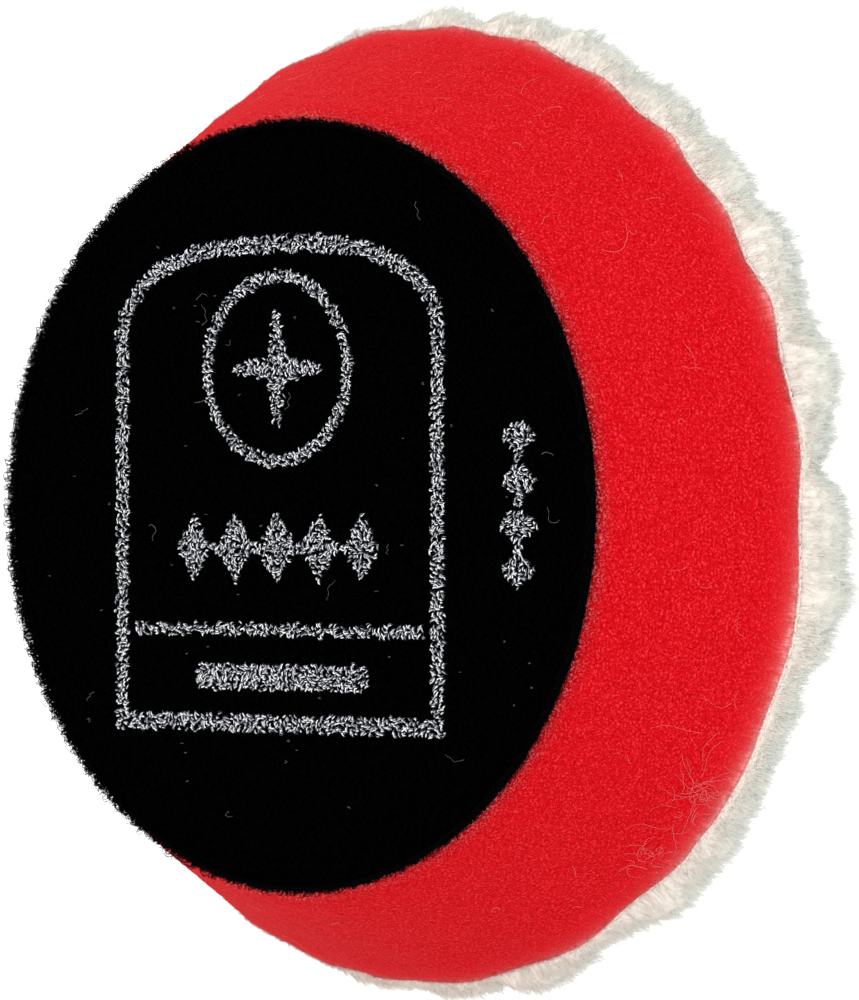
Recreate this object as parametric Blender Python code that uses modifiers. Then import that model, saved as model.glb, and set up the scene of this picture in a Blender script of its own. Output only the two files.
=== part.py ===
"""Polishing pad with a hook-and-loop backing, a conical foam core and a wool face.

The pad stands on its edge: its spin axis runs along +Y, the looped backing
faces -Y and the wool face +Y.  The origin is the centre of the looped face,
where a machine's backing plate holds the pad, and +Z is the top of the woven
emblem.  All sizes are in metres.

Layers, from the machine side to the work side:
    loop pile with the inlaid white emblem yarn, knitted ground cloth,
    backing adhesive, foam core, face adhesive, wool ground cloth, wool pile.
The last three move together towards the backing when the foam is pressed.
"""

import math

import bpy
import bmesh

MM = 0.001

# ---------------------------------------------------------------- dimensions
LOOP_R = 37.0 * MM           # looped backing; its loose edge loops reach 37.5 mm
LOOP_PILE_T = 1.30 * MM      # height of the loops
CLOTH_T = 0.50 * MM          # knitted ground that the loops grow from
GLUE_T = 0.20 * MM           # hot-melt films
GAP = 0.30 * MM              # clearance between touching layers

FOAM_SMALL_R = 38.1 * MM     # foam where its lip stands round the backing
FOAM_LIP = 0.70 * MM         # the lip's top, measured from the loop face
FOAM_RIM_R = 47.1 * MM       # foam at the wool
FOAM_RIM_EDGE = 0.5 * MM     # softened edges of the foam
FOAM_TOP = 18.60 * MM        # where the foam ends, measured from the loop face

WOOL_CLOTH_T = 0.80 * MM     # knitted back of the wool
WOOL_CLOTH_R = 47.0 * MM
WOOL_R = 49.2 * MM           # pile where it bulges past the foam
WOOL_TOP = 30.0 * MM         # work face of the pile
WOOL_FLAT_R = 38.0 * MM      # flat middle of the work face

INLAY_DEPTH = 0.90 * MM      # pockets for the emblem yarn in the loop pile
INLAY_T = 0.55 * MM          # thickness of the yarn inlays
INLAY_SINK = 0.05 * MM       # they lie just under the loop face

# emblem layout on the loop face: x to the right, z up
BORDER_LINE = 1.6 * MM
BORDER_CX, BORDER_HALF = -1.75 * MM, 20.25 * MM
BORDER_BOTTOM = -21.2 * MM
BORDER_SHOULDER = 16.5 * MM
BORDER_RISE = 8.9 * MM
DIVIDER_Z = -12.1 * MM
DIVIDER_H = 1.1 * MM
RING_C = (-1.75 * MM, 13.3 * MM)
RING_R = 9.0 * MM
RING_LINE = 1.2 * MM
SPARK_R, SPARK_WAIST = 5.6 * MM, 1.7 * MM
BAND_C, BAND_PITCH = (-1.75 * MM, -4.1 * MM), 5.4 * MM
BAND_HALF_W, BAND_HALF_H = 2.55 * MM, 3.7 * MM
BAND_TIE = 0.55 * MM
BAND_SIZES = (0.90, 0.95, 1.0, 0.95, 0.90)
BAR_C, BAR_HALF_W, BAR_HALF_H = (-1.2 * MM, -16.7 * MM), 11.2 * MM, 1.3 * MM
SIDE_C, SIDE_PITCH = (28.3 * MM, 0.2 * MM), 4.2 * MM
SIDE_HALF_W, SIDE_HALF_H = 2.5 * MM, 1.9 * MM
SIDE_SIZES = (0.94, 1.0, 0.98, 0.92)

SEGMENTS = 96                # round the turned layers
SEGMENTS_FINE = 180          # round the layers with a wavy rim

# The wool's backing is gathered where it is stretched over the foam, so the
# rim is a little wavy and the pile stands in lobes.  Each wave is (how many
# round the rim, height, phase in degrees), counted from +X towards +Z.
RIM_WAVES = ((30, 0.15 * MM, 28.0), (29, 0.13 * MM, -108.0), (26, 0.09 * MM, -168.0),
             (20, 0.12 * MM, 134.0), (16, 0.09 * MM, 85.0))
LOBE_WAVES = ((12, 0.24 * MM, -138.0), (10, 0.24 * MM, -74.0), (16, 0.23 * MM, -109.0),
              (19, 0.25 * MM, -153.0), (21, 0.17 * MM, -45.0))

# layer positions along the spin axis, from the loop face
Y_PILE = (0.0, LOOP_PILE_T)
Y_CLOTH = (Y_PILE[1] + GAP, Y_PILE[1] + GAP + CLOTH_T)
Y_GLUE = (Y_CLOTH[1] + GAP, Y_CLOTH[1] + GAP + GLUE_T)
Y_FOAM = (Y_GLUE[1] + GAP, FOAM_TOP)
Y_GLUE2 = (Y_FOAM[1] + GAP, Y_FOAM[1] + GAP + GLUE_T)
Y_WCLOTH = (Y_GLUE2[1] + GAP, Y_GLUE2[1] + GAP + WOOL_CLOTH_T)
Y_WOOL = (Y_WCLOTH[1] + GAP, WOOL_TOP)

# ------------------------------------------------------------------- set-up
for old in list(bpy.data.objects):
    bpy.data.objects.remove(old, do_unlink=True)

scene = bpy.context.scene
parts = bpy.data.collections.new("polishing_pad")
cutters = bpy.data.collections.new("cutters")
scene.collection.children.link(parts)
scene.collection.children.link(cutters)

# Turned about its own +Z, the pad is laid over so that +Z runs along +Y.
axis_frame = bpy.data.objects.new("pad_axis", None)
axis_frame.rotation_euler = (math.radians(-90.0), 0.0, 0.0)
parts.objects.link(axis_frame)

# Everything that is pressed towards the backing hangs on this empty.
face_frame = bpy.data.objects.new("wool_face_axis", None)
face_frame.parent = axis_frame
face_frame.location = (0.0, 0.0, Y_GLUE2[0])
parts.objects.link(face_frame)


def material(name, colour, roughness, metallic=0.0):
    mat = bpy.data.materials.new(name)
    mat.use_nodes = True
    shader = mat.node_tree.nodes["Principled BSDF"]
    shader.inputs["Base Color"].default_value = (*colour, 1.0)
    shader.inputs["Roughness"].default_value = roughness
    shader.inputs["Metallic"].default_value = metallic
    mat.diffuse_color = (*colour, 1.0)
    return mat


def place(obj, parent, mat, collection=parts):
    """Link an object built in the axis frame and hang it on its parent."""
    collection.objects.link(obj)
    obj.parent = parent
    if parent is face_frame:
        obj.location = (0.0, 0.0, -Y_GLUE2[0])
    if mat is not None:
        obj.data.materials.append(mat)
    if obj.type == "MESH":
        obj.data.shade_smooth()
        obj.data.set_sharp_from_angle(angle=math.radians(35.0))
    return obj


def waves(table, angle):
    return sum(height * math.cos(count * angle - math.radians(phase))
               for count, height, phase in table)


# ------------------------------------------------------------ turned layers
def turned(name, profile, parent, mat, wavy=None):
    """A closed turned solid: the profile runs (r, h) down its outer side.

    wavy(r, h, angle) gives how far a point moves outwards.
    """
    mesh = bpy.data.meshes.new(name)
    verts = [(r, 0.0, h) for r, h in profile]
    edges = [(i, i + 1) for i in range(len(verts) - 1)]
    mesh.from_pydata(verts, edges, [])
    obj = bpy.data.objects.new(name, mesh)
    place(obj, parent, mat)
    screw = obj.modifiers.new("turn", "SCREW")
    screw.axis = "Z"
    screw.angle = math.tau
    screw.steps = SEGMENTS_FINE if wavy else SEGMENTS
    screw.render_steps = screw.steps
    screw.use_merge_vertices = True
    screw.merge_threshold = 0.00002
    if wavy is None:
        return obj
    bpy.context.view_layer.update()
    shape = obj.evaluated_get(bpy.context.evaluated_depsgraph_get())
    solid = bpy.data.meshes.new_from_object(shape)
    for vert in solid.vertices:
        x, y, h = vert.co
        r = math.hypot(x, y)
        if r > 1.0 * MM:
            out = 1.0 + wavy(r, h, math.atan2(-y, x)) / r
            vert.co = (x * out, y * out, h)
    obj.modifiers.clear()
    solid.name = name
    obj.data = solid
    return obj


def disc_profile(radius, low, high, edge=0.0):
    """Top centre, over the rounded rim, to the bottom centre."""
    if edge <= 0.0:
        return [(0.0, high), (radius, high), (radius, low), (0.0, low)]
    pts = [(0.0, high)]
    for k in range(4):
        a = math.radians(90.0 - 30.0 * k)
        pts.append((radius - edge + edge * math.cos(a), high - edge + edge * math.sin(a)))
    for k in range(4):
        a = math.radians(-30.0 * k)
        pts.append((radius - edge + edge * math.cos(a), low + edge + edge * math.sin(a)))
    pts.append((0.0, low))
    return pts


black_loop = material("black_loop", (0.006, 0.006, 0.007), 0.95)
black_knit = material("black_knit", (0.010, 0.010, 0.011), 0.90)
white_yarn = material("white_yarn", (0.62, 0.63, 0.66), 0.80)
hot_melt = material("hot_melt", (0.78, 0.74, 0.66), 0.35)
red_foam = material("red_foam", (0.72, 0.012, 0.022), 0.95)
wool_knit = material("wool_knit", (0.80, 0.74, 0.64), 0.90)
wool_fibre = material("wool_fibre", (0.86, 0.82, 0.72), 0.92)

loop_pile = turned(
    "loop_pile", disc_profile(LOOP_R, *Y_PILE, edge=0.35 * MM), axis_frame, black_loop)
turned("loop_ground_cloth", disc_profile(LOOP_R - 0.2 * MM, *Y_CLOTH), axis_frame, black_knit)
turned("backing_adhesive", disc_profile(LOOP_R - 0.3 * MM, *Y_GLUE), axis_frame, hot_melt)

foam_profile = [(0.0, Y_FOAM[1]),
                (FOAM_RIM_R - FOAM_RIM_EDGE, Y_FOAM[1]),
                (FOAM_RIM_R - 0.10 * MM, Y_FOAM[1] - 0.20 * MM),
                (FOAM_RIM_R, Y_FOAM[1] - FOAM_RIM_EDGE)]
for step in (0.75, 0.5, 0.25):   # straight flank, in a few rings
    foam_profile.append((FOAM_SMALL_R + (FOAM_RIM_R - FOAM_SMALL_R) * step,
                         FOAM_LIP + (Y_FOAM[1] - FOAM_RIM_EDGE - FOAM_LIP) * step))
# The backing is pressed into the foam when it is bonded, so the foam's edge
# stands round it as a low lip.
foam_profile += [(FOAM_SMALL_R, FOAM_LIP + 0.20 * MM),
                 (FOAM_SMALL_R - 0.22 * MM, FOAM_LIP),
                 (LOOP_R + GAP + 0.12 * MM, FOAM_LIP),
                 (LOOP_R + GAP, FOAM_LIP + 0.15 * MM),
                 (LOOP_R + GAP, Y_FOAM[0]),
                 (0.0, Y_FOAM[0])]


def foam_wave(r, h, angle):
    """Grows from nothing at the backing to its full height at the rim."""
    if r < FOAM_SMALL_R - 1.5 * MM:
        return 0.0
    rise = (h - Y_FOAM[0]) / (Y_FOAM[1] - Y_FOAM[0])
    return waves(RIM_WAVES, angle) * max(rise, 0.0) ** 2.5


def rim_wave(r, h, angle):
    return waves(RIM_WAVES, angle)


def pile_wave(r, h, angle):
    """The rim's wave at the cloth turns into the lobes of the pile."""
    edge = max(0.0, (r - WOOL_FLAT_R) / (WOOL_R - WOOL_FLAT_R)) ** 1.5
    rise = min(1.0, (h - Y_WOOL[0]) / (2.2 * MM))
    return edge * (waves(RIM_WAVES, angle) * (1.0 - rise) + waves(LOBE_WAVES, angle) * rise)


turned("foam_core", foam_profile, axis_frame, red_foam, wavy=foam_wave)

turned("face_adhesive", disc_profile(FOAM_RIM_R - 0.7 * MM, *Y_GLUE2), face_frame, hot_melt)
turned("wool_ground_cloth", disc_profile(WOOL_CLOTH_R, *Y_WCLOTH), face_frame, wool_knit,
       wavy=rim_wave)

# The pile leaves the cloth, swells past the foam's rim and rounds over to the
# flat work face.
wool_profile = [(0.0, Y_WOOL[1]), (WOOL_FLAT_R, Y_WOOL[1])]
round_r = WOOL_R - WOOL_FLAT_R
round_h = Y_WOOL[1] - (Y_WOOL[0] + 2.2 * MM)
for k in range(1, 8):
    a = math.radians(90.0 - 90.0 * k / 7.0)
    wool_profile.append((WOOL_FLAT_R + round_r * math.cos(a) ** 0.9 if k < 7 else WOOL_R,
                         Y_WOOL[1] - round_h * (1.0 - math.sin(a))))
wool_profile += [(WOOL_R - 0.5 * MM, Y_WOOL[0] + 0.9 * MM),
                 (WOOL_CLOTH_R, Y_WOOL[0]),
                 (0.0, Y_WOOL[0])]
turned("wool_pile", wool_profile, face_frame, wool_fibre, wavy=pile_wave)


# ------------------------------------------------------------ emblem inlays
def arch_border(grow):
    """Arch-topped frame: outer and inner outline, each grown by 'grow'."""
    def outline(off):
        half = BORDER_HALF + off
        low = BORDER_BOTTOM - off
        shoulder = BORDER_SHOULDER
        rise = BORDER_RISE + off
        pts = [(BORDER_CX - half, low), (BORDER_CX + half, low)]
        for k in range(0, 25):           # super-elliptic arch, right to left
            t = math.pi * k / 24.0
            c, s = math.cos(t), math.sin(t)
            pts.append((BORDER_CX + half * math.copysign(abs(c) ** 0.72, c),
                        shoulder + rise * abs(s) ** 0.95))
        return pts
    line = BORDER_LINE / 2.0
    return [outline(line + grow), outline(-line - grow)]


def box_outline(cx, cz, hw, hh):
    return [(cx - hw, cz - hh), (cx + hw, cz - hh), (cx + hw, cz + hh), (cx - hw, cz + hh)]


def divider(grow):
    half = BORDER_HALF - BORDER_LINE / 2.0 - 0.9 * MM
    return [box_outline(BORDER_CX, DIVIDER_Z, half + grow, DIVIDER_H / 2.0 + grow)]


def ring(grow):
    def circle(radius):
        return [(RING_C[0] + radius * math.cos(math.tau * k / 40.0),
                 RING_C[1] + radius * math.sin(math.tau * k / 40.0)) for k in range(40)]
    return [circle(RING_R + RING_LINE / 2.0 + grow), circle(RING_R - RING_LINE / 2.0 - grow)]


def spark(grow):
    """Four-pointed star with blunt tips and hollow flanks."""
    pts = []
    for k in range(4):
        a = math.tau * k / 4.0
        for da, r in ((-0.075, SPARK_R), (0.075, SPARK_R), (math.pi / 4.0, SPARK_WAIST)):
            rr = r + grow * (1.0 if r == SPARK_R else 1.3)
            spread = da * (1.0 + (grow / (0.075 * SPARK_R)) if abs(da) < 0.1 else 1.0)
            pts.append((RING_C[0] + rr * math.cos(a + spread),
                        RING_C[1] + rr * math.sin(a + spread)))
    return [pts]


def lozenge_band(centre, pitch, sizes, half_w, half_h, tie, upright, grow):
    """A row of lozenges joined at their tips by a narrow tie."""
    count = len(sizes)
    slope = math.hypot(half_w, half_h)
    first = -pitch * (count - 1) / 2.0
    top = []
    for k, size in enumerate(sizes):
        w = half_w * size + grow * slope / half_h
        h = half_h * size + grow * slope / half_w
        t = tie * (1.0 + 0.02 * k) + grow
        cut = w * (1.0 - t / h)          # where the tie meets a lozenge
        c = first + k * pitch
        top += [(c - cut, t), (c, h), (c + cut, t)]
    low = [(x, -y) for x, y in reversed(top)]
    pts = top + low
    if upright:
        return [[(centre[0] - y, centre[1] + x) for x, y in pts]]
    return [[(centre[0] + x, centre[1] + y) for x, y in pts]]


def diamond_band(grow):
    return lozenge_band(BAND_C, BAND_PITCH, BAND_SIZES, BAND_HALF_W, BAND_HALF_H, BAND_TIE, False, grow)


def side_band(grow):
    return lozenge_band(SIDE_C, SIDE_PITCH, SIDE_SIZES, SIDE_HALF_H, SIDE_HALF_W, BAND_TIE, True, grow)


def lower_bar(grow):
    """Plain bar with round ends."""
    hw, hh = BAR_HALF_W + grow, BAR_HALF_H + grow
    pts = []
    for side in (1.0, -1.0):
        for k in range(9):
            a = math.radians(-90.0 + 22.5 * k)
            pts.append((BAR_C[0] + side * (hw - hh + hh * math.cos(a)),
                        BAR_C[1] + side * hh * math.sin(a)))
    return [pts]


def extruded(name, outlines, low, high, collection, mat=None):
    """A flat outline, with its holes, as a closed mesh between two heights."""
    curve = bpy.data.curves.new(name + "_outline", "CURVE")
    curve.dimensions = "2D"
    curve.fill_mode = "BOTH"
    curve.extrude = (high - low) / 2.0
    for pts in outlines:
        spline = curve.splines.new("POLY")
        spline.points.add(len(pts) - 1)
        for point, (x, z) in zip(spline.points, pts):
            # laid over, the frame's own +Y is the world's -Z
            point.co = (x, -z, 0.0, 1.0)
        spline.use_cyclic_u = True
    guide = bpy.data.objects.new(name + "_outline", curve)
    scene.collection.objects.link(guide)
    bpy.context.view_layer.update()
    shape = guide.evaluated_get(bpy.context.evaluated_depsgraph_get())
    mesh = bpy.data.meshes.new_from_object(shape)
    bpy.data.objects.remove(guide, do_unlink=True)
    bm = bmesh.new()
    bm.from_mesh(mesh)
    bmesh.ops.remove_doubles(bm, verts=bm.verts, dist=0.000005)
    bmesh.ops.translate(bm, verts=bm.verts, vec=(0.0, 0.0, (high + low) / 2.0))
    bmesh.ops.recalc_face_normals(bm, faces=bm.faces)
    bm.to_mesh(mesh)
    bm.free()
    mesh.name = name
    mesh.materials.clear()
    obj = bpy.data.objects.new(name, mesh)
    place(obj, axis_frame, mat, collection)
    return obj


EMBLEM = {
    "emblem_border": arch_border,
    "emblem_divider": divider,
    "emblem_ring": ring,
    "emblem_spark": spark,
    "emblem_diamond_band": diamond_band,
    "emblem_lower_bar": lower_bar,
    "emblem_side_band": side_band,
}
for name, shape in EMBLEM.items():
    extruded(name, shape(0.0), INLAY_SINK, INLAY_SINK + INLAY_T, parts, white_yarn)
    pocket = extruded(name + "_pocket", shape(GAP), -1.0 * MM, INLAY_DEPTH, cutters)
    pocket.hide_render = True
    pocket.display_type = "WIRE"
    cut = loop_pile.modifiers.new(name + "_pocket", "BOOLEAN")
    cut.operation = "DIFFERENCE"
    cut.solver = "EXACT"
    cut.object = pocket
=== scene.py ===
"""Looks of the polishing pad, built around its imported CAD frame.

The spin axis is Y: the looped backing faces -Y, the wool faces +Y.  Every
fibre that shows (wool, pile loops, emblem yarn, foam fuzz, stray hairs) is a
closed tapered tube.  All sizes are in metres; MM makes them readable.
"""
import math

import bpy
import numpy as np
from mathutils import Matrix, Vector, kdtree


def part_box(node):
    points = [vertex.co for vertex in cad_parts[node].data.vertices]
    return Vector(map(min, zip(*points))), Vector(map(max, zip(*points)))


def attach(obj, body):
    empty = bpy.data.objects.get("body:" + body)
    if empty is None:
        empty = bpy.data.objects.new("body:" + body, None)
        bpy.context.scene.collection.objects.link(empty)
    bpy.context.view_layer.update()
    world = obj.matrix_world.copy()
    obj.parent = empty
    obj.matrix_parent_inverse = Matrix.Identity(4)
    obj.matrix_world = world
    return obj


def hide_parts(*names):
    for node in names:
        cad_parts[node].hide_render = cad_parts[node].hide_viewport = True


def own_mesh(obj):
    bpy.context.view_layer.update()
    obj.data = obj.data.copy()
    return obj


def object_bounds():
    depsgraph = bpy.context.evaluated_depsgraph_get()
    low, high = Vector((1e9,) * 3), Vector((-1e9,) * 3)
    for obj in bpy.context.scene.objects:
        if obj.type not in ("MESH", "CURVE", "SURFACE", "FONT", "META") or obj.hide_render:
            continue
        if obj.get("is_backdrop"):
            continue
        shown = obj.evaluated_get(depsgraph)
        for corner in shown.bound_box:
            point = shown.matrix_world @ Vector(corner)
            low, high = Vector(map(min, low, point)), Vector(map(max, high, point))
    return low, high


MM = 0.001
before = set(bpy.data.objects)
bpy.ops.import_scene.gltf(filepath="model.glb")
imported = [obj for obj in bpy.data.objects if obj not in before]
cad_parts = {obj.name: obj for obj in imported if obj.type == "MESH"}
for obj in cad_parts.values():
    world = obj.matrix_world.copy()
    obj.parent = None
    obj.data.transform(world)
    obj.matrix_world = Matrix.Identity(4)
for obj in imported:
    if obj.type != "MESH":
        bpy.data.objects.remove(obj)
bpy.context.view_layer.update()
scene = bpy.context.scene
rng = np.random.default_rng(20807)

# ------------------------------------------------------------ heights along Y
loop_lo, loop_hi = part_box("loop_pile")
wool_lo, wool_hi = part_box("wool_pile")
cloth_lo, cloth_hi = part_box("wool_ground_cloth")

LOOP_R = loop_hi[0] - 0.04 * MM        # the mat itself; its edge loops reach past it
MAT_BACK = loop_hi[1]                  # back of the loop pile
KNIT_BACK = MAT_BACK + 0.62 * MM       # back of its knitted ground
FILM_BACK = KNIT_BACK + 0.12 * MM
FOAM_LO = FILM_BACK + 0.02 * MM        # floor of the foam's recess
LIP_Y = 0.56 * MM                      # the foam's lip round the mat
FOAM_HI = 19.08 * MM
FILM2_HI = FOAM_HI + 0.07 * MM
WCLOTH_HI = FILM2_HI + 0.28 * MM
FOAM_R0 = 37.5 * MM                    # where the flank's line meets the loop face
RIM_R = 47.30 * MM
WOOL_TOP = wool_hi[1] - 0.1 * MM

# How far the rim stands in or out, and how full the wool is, by angle from +X
# towards +Z.  The gathers of the wool's cloth make both.
RIM_WAVE = [(-99, -0.23), (-96, 0.02), (-93, -0.07), (-90, -0.23), (-87, -0.12), (-84, 0.10), (-81, 0.17),
            (-78, -0.01), (-75, -0.18), (-72, -0.18), (-69, 0.06), (-66, 0.23), (-63, 0.25), (-60, -0.03),
            (-57, -0.38), (-54, -0.43), (-51, -0.17), (-48, 0.16), (-45, 0.31), (-42, 0.22), (-39, 0.43),
            (-36, 0.41), (-33, 0.46), (-30, 0.47), (-27, 0.24), (-24, 0.20), (-21, 0.32), (-18, 0.54),
            (-15, 0.61), (-12, 0.48), (-9, 0.27), (-6, -0.02), (-3, -0.27), (0, -0.39), (3, -0.10), (6, 0.21),
            (9, 0.19), (12, -0.08), (15, -0.30), (18, -0.30), (21, 0.21), (24, 0.67), (27, 0.13), (30, -0.38),
            (33, 0.00), (36, 0.40), (39, 0.17), (42, -0.23), (45, -0.02), (48, 0.62), (51, 0.05), (54, -0.27),
            (57, 0.10), (60, 0.47), (63, 0.14), (66, -0.06), (69, 0.17), (72, 0.54), (75, 0.16), (78, -0.08),
            (81, 0.16), (84, 0.35), (87, 0.06), (90, -0.08), (93, 0.15), (96, 0.38), (99, 0.22), (105, -0.15),
            (112, 0.25), (118, -0.30), (124, 0.20), (131, -0.10), (137, 0.35), (143, -0.25), (150, 0.30),
            (156, -0.20), (163, 0.15), (170, 0.40), (176, -0.30), (183, 0.20), (189, -0.15), (196, 0.30),
            (202, -0.35), (209, 0.25), (216, 0.05), (222, -0.30), (229, 0.35), (236, -0.20), (243, 0.25),
            (250, -0.10), (256, 0.15)]
LOBES = [(-100, 1.09), (-98, 1.01), (-96, 1.06), (-94, 1.01), (-92, 0.97), (-90, 1.02), (-88, 1.05),
         (-86, 1.10), (-84, 1.03), (-82, 1.10), (-80, 0.96), (-78, 1.01), (-76, 1.15), (-74, 1.10), (-72, 1.16),
         (-70, 1.05), (-68, 1.08), (-66, 0.98), (-64, 0.90), (-62, 0.99), (-60, 1.01), (-58, 1.00), (-56, 1.06),
         (-54, 1.12), (-52, 1.16), (-50, 1.08), (-48, 1.10), (-46, 1.08), (-44, 1.09), (-42, 1.09), (-40, 1.01),
         (-38, 1.06), (-36, 0.98), (-34, 1.01), (-32, 0.94), (-30, 0.97), (-28, 0.94), (-26, 0.99), (-24, 0.96),
         (-22, 0.90), (-20, 0.93), (-18, 1.06), (-16, 1.09), (-14, 1.08), (-12, 1.16), (-10, 1.21), (-8, 1.15),
         (-6, 1.10), (-4, 1.13), (-2, 1.13), (0, 1.07), (2, 1.03), (4, 0.76), (6, 0.87), (8, 0.98), (10, 0.97),
         (12, 1.09), (14, 1.15), (16, 1.18), (18, 1.14), (20, 1.01), (22, 1.07), (24, 0.98), (26, 1.07),
         (28, 1.08), (30, 1.14), (32, 1.16), (34, 1.15), (36, 1.10), (38, 1.01), (40, 1.12), (42, 1.14),
         (44, 1.11), (46, 1.13), (48, 1.04), (50, 1.09), (52, 1.16), (54, 1.10), (56, 1.13), (58, 1.04),
         (60, 1.10), (62, 1.12), (64, 1.18), (66, 1.10), (68, 1.25), (70, 1.10), (72, 1.06), (74, 1.18),
         (76, 1.10), (78, 1.18), (80, 1.08), (82, 1.00), (84, 0.99), (86, 1.09), (88, 1.15), (90, 1.13),
         (92, 1.05), (94, 0.96), (96, 1.01), (98, 0.92), (100, 1.09), (104, 0.98), (109, 0.87), (114, 0.87),
         (121, 0.90), (126, 0.84), (131, 0.96), (138, 1.14), (144, 0.92), (150, 1.03), (156, 1.17), (161, 0.83),
         (167, 1.06), (175, 1.14), (181, 0.89), (187, 1.06), (194, 1.17), (199, 0.78), (206, 1.06), (213, 1.11),
         (219, 0.92), (226, 0.96), (233, 0.89), (238, 0.84), (245, 0.87), (252, 0.93), (257, 0.95)]


def ring_table(table):
    """A smooth periodic function of the angle, in radians, through a table in degrees."""
    t = np.array(table, float)
    ang = np.concatenate([t[-3:, 0] - 360.0, t[:, 0], t[:3, 0] + 360.0])
    val = np.concatenate([t[-3:, 1], t[:, 1], t[:3, 1]])
    fine = np.arange(-180.0, 540.0, 0.25)
    wrapped = np.where(fine > 259.0, fine - 360.0, fine)
    wrapped = np.where(wrapped < -101.0, wrapped + 360.0, wrapped)
    raw = np.interp(wrapped, ang, val)
    kernel = np.hanning(11)
    kernel /= kernel.sum()
    soft = np.convolve(raw, kernel, mode="same")

    def look(theta):
        d = np.degrees(theta) % 360.0
        return np.interp(d, fine, soft)
    return look


rim_wave_mm = ring_table(RIM_WAVE)
lobe_full = ring_table(LOBES)


# ------------------------------------------------------------------- helpers
def smooth_noise(points, size, seed, octaves=2):
    """Cheap repeatable value noise, about -1 to 1, at points (N, 3)."""
    out = np.zeros(len(points))
    amp, total = 1.0, 0.0
    for o in range(octaves):
        p = points / (size / 2 ** o) + 17.3 * (seed + 3 * o)
        cell = np.floor(p).astype(np.int64)
        f = p - cell
        f = f * f * (3 - 2 * f)
        val = np.zeros(len(points))
        for dx in (0, 1):
            for dy in (0, 1):
                for dz in (0, 1):
                    c = cell + np.array([dx, dy, dz])
                    h = (c[:, 0] * 73856093) ^ (c[:, 1] * 19349663) ^ (c[:, 2] * 83492791) ^ (seed * 2654435)
                    h = (h ^ (h >> 13)) * 1274126177
                    h = ((h ^ (h >> 16)) & 0xFFFFFF) / float(0xFFFFFF)
                    w = (f[:, 0] if dx else 1 - f[:, 0]) * (f[:, 1] if dy else 1 - f[:, 1]) * \
                        (f[:, 2] if dz else 1 - f[:, 2])
                    val += w * (h * 2 - 1)
        out += amp * val
        total += amp
        amp *= 0.5
    return out / total


def mesh_object(name, co, faces, materials, body, index=None, closed=False):
    """A mesh object from vertex and face arrays, riding on a body."""
    co = np.ascontiguousarray(co, dtype=np.float32)
    if closed:                       # turn the faces outwards
        vol = 0.0
        for f in faces:
            a = co[f[:, 0]].astype(float)
            for k in range(1, f.shape[1] - 1):
                b, c = co[f[:, k]].astype(float), co[f[:, k + 1]].astype(float)
                vol += np.einsum("ij,ij->i", a, np.cross(b, c)).sum()
        if vol < 0:
            faces = [f[:, ::-1] for f in faces]
    loops = np.concatenate([f.ravel() for f in faces]).astype(np.int32)
    totals = np.concatenate([np.full(len(f), f.shape[1], np.int32) for f in faces])
    starts = np.concatenate([[0], np.cumsum(totals)[:-1]]).astype(np.int32)
    me = bpy.data.meshes.new(name)
    me.vertices.add(len(co))
    me.vertices.foreach_set("co", co.ravel())
    me.loops.add(len(loops))
    me.loops.foreach_set("vertex_index", loops)
    me.polygons.add(len(totals))
    me.polygons.foreach_set("loop_start", starts)
    for m in (materials if isinstance(materials, (list, tuple)) else [materials]):
        me.materials.append(m)
    if index is not None:
        me.polygons.foreach_set("material_index", np.asarray(index, np.int32))
    me.update(calc_edges=True)
    me.validate()
    me.shade_smooth()
    ob = bpy.data.objects.new(name, me)
    scene.collection.objects.link(ob)
    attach(ob, body)
    return ob


def unit(v):
    return v / np.maximum(np.linalg.norm(v, axis=-1, keepdims=True), 1e-12)


def tubes(path, radius, ref=None, sides=3, shade=None):
    """Closed tubes along path (N, S, 3) with radius (N, S).

    Returns the vertices, the face arrays and, if shade (N, S-1) is given, the
    material index of each face.
    """
    n, s, _ = path.shape
    t = np.empty_like(path)
    t[:, 1:-1] = path[:, 2:] - path[:, :-2]
    t[:, 0] = path[:, 1] - path[:, 0]
    t[:, -1] = path[:, -1] - path[:, -2]
    t = unit(t)
    if ref is None:
        m = unit(t.mean(axis=1))
        ref = np.where(np.abs(m[:, :1]) < 0.6, np.array([[1.0, 0, 0]]), np.array([[0, 0, 1.0]]))
    u = unit(np.cross(t, ref[:, None, :]))
    v = np.cross(t, u)
    turn = rng.uniform(0, 2 * np.pi, n)[:, None]
    co = np.empty((n, s, sides, 3))
    for k in range(sides):
        a = turn + 2 * np.pi * k / sides
        co[:, :, k] = path + radius[..., None] * (np.cos(a)[..., None] * u + np.sin(a)[..., None] * v)
    base = (np.arange(n) * s * sides)[:, None, None]
    i = np.arange(s - 1)[None, :, None]
    k = np.arange(sides)[None, None, :]
    k2 = (k + 1) % sides
    q = np.stack(np.broadcast_arrays(base + i * sides + k, base + i * sides + k2,
                                     base + (i + 1) * sides + k2, base + (i + 1) * sides + k), -1)
    quads = q.reshape(-1, 4)
    start = base[:, 0, 0][:, None] + np.arange(sides)[None, ::-1]
    end = base[:, 0, 0][:, None] + (s - 1) * sides + np.arange(sides)[None, :]
    faces = [quads, start, end]
    idx = None
    if shade is not None:
        idx = np.concatenate([np.repeat(shade.reshape(-1), sides), shade[:, 0], shade[:, -1]])
    return co.reshape(-1, 3), faces, idx


def bezier(p0, p1, p2, s):
    w = np.linspace(0, 1, s)[None, :, None]
    return (1 - w) ** 2 * p0[:, None] + 2 * w * (1 - w) * p1[:, None] + w ** 2 * p2[:, None]


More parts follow.
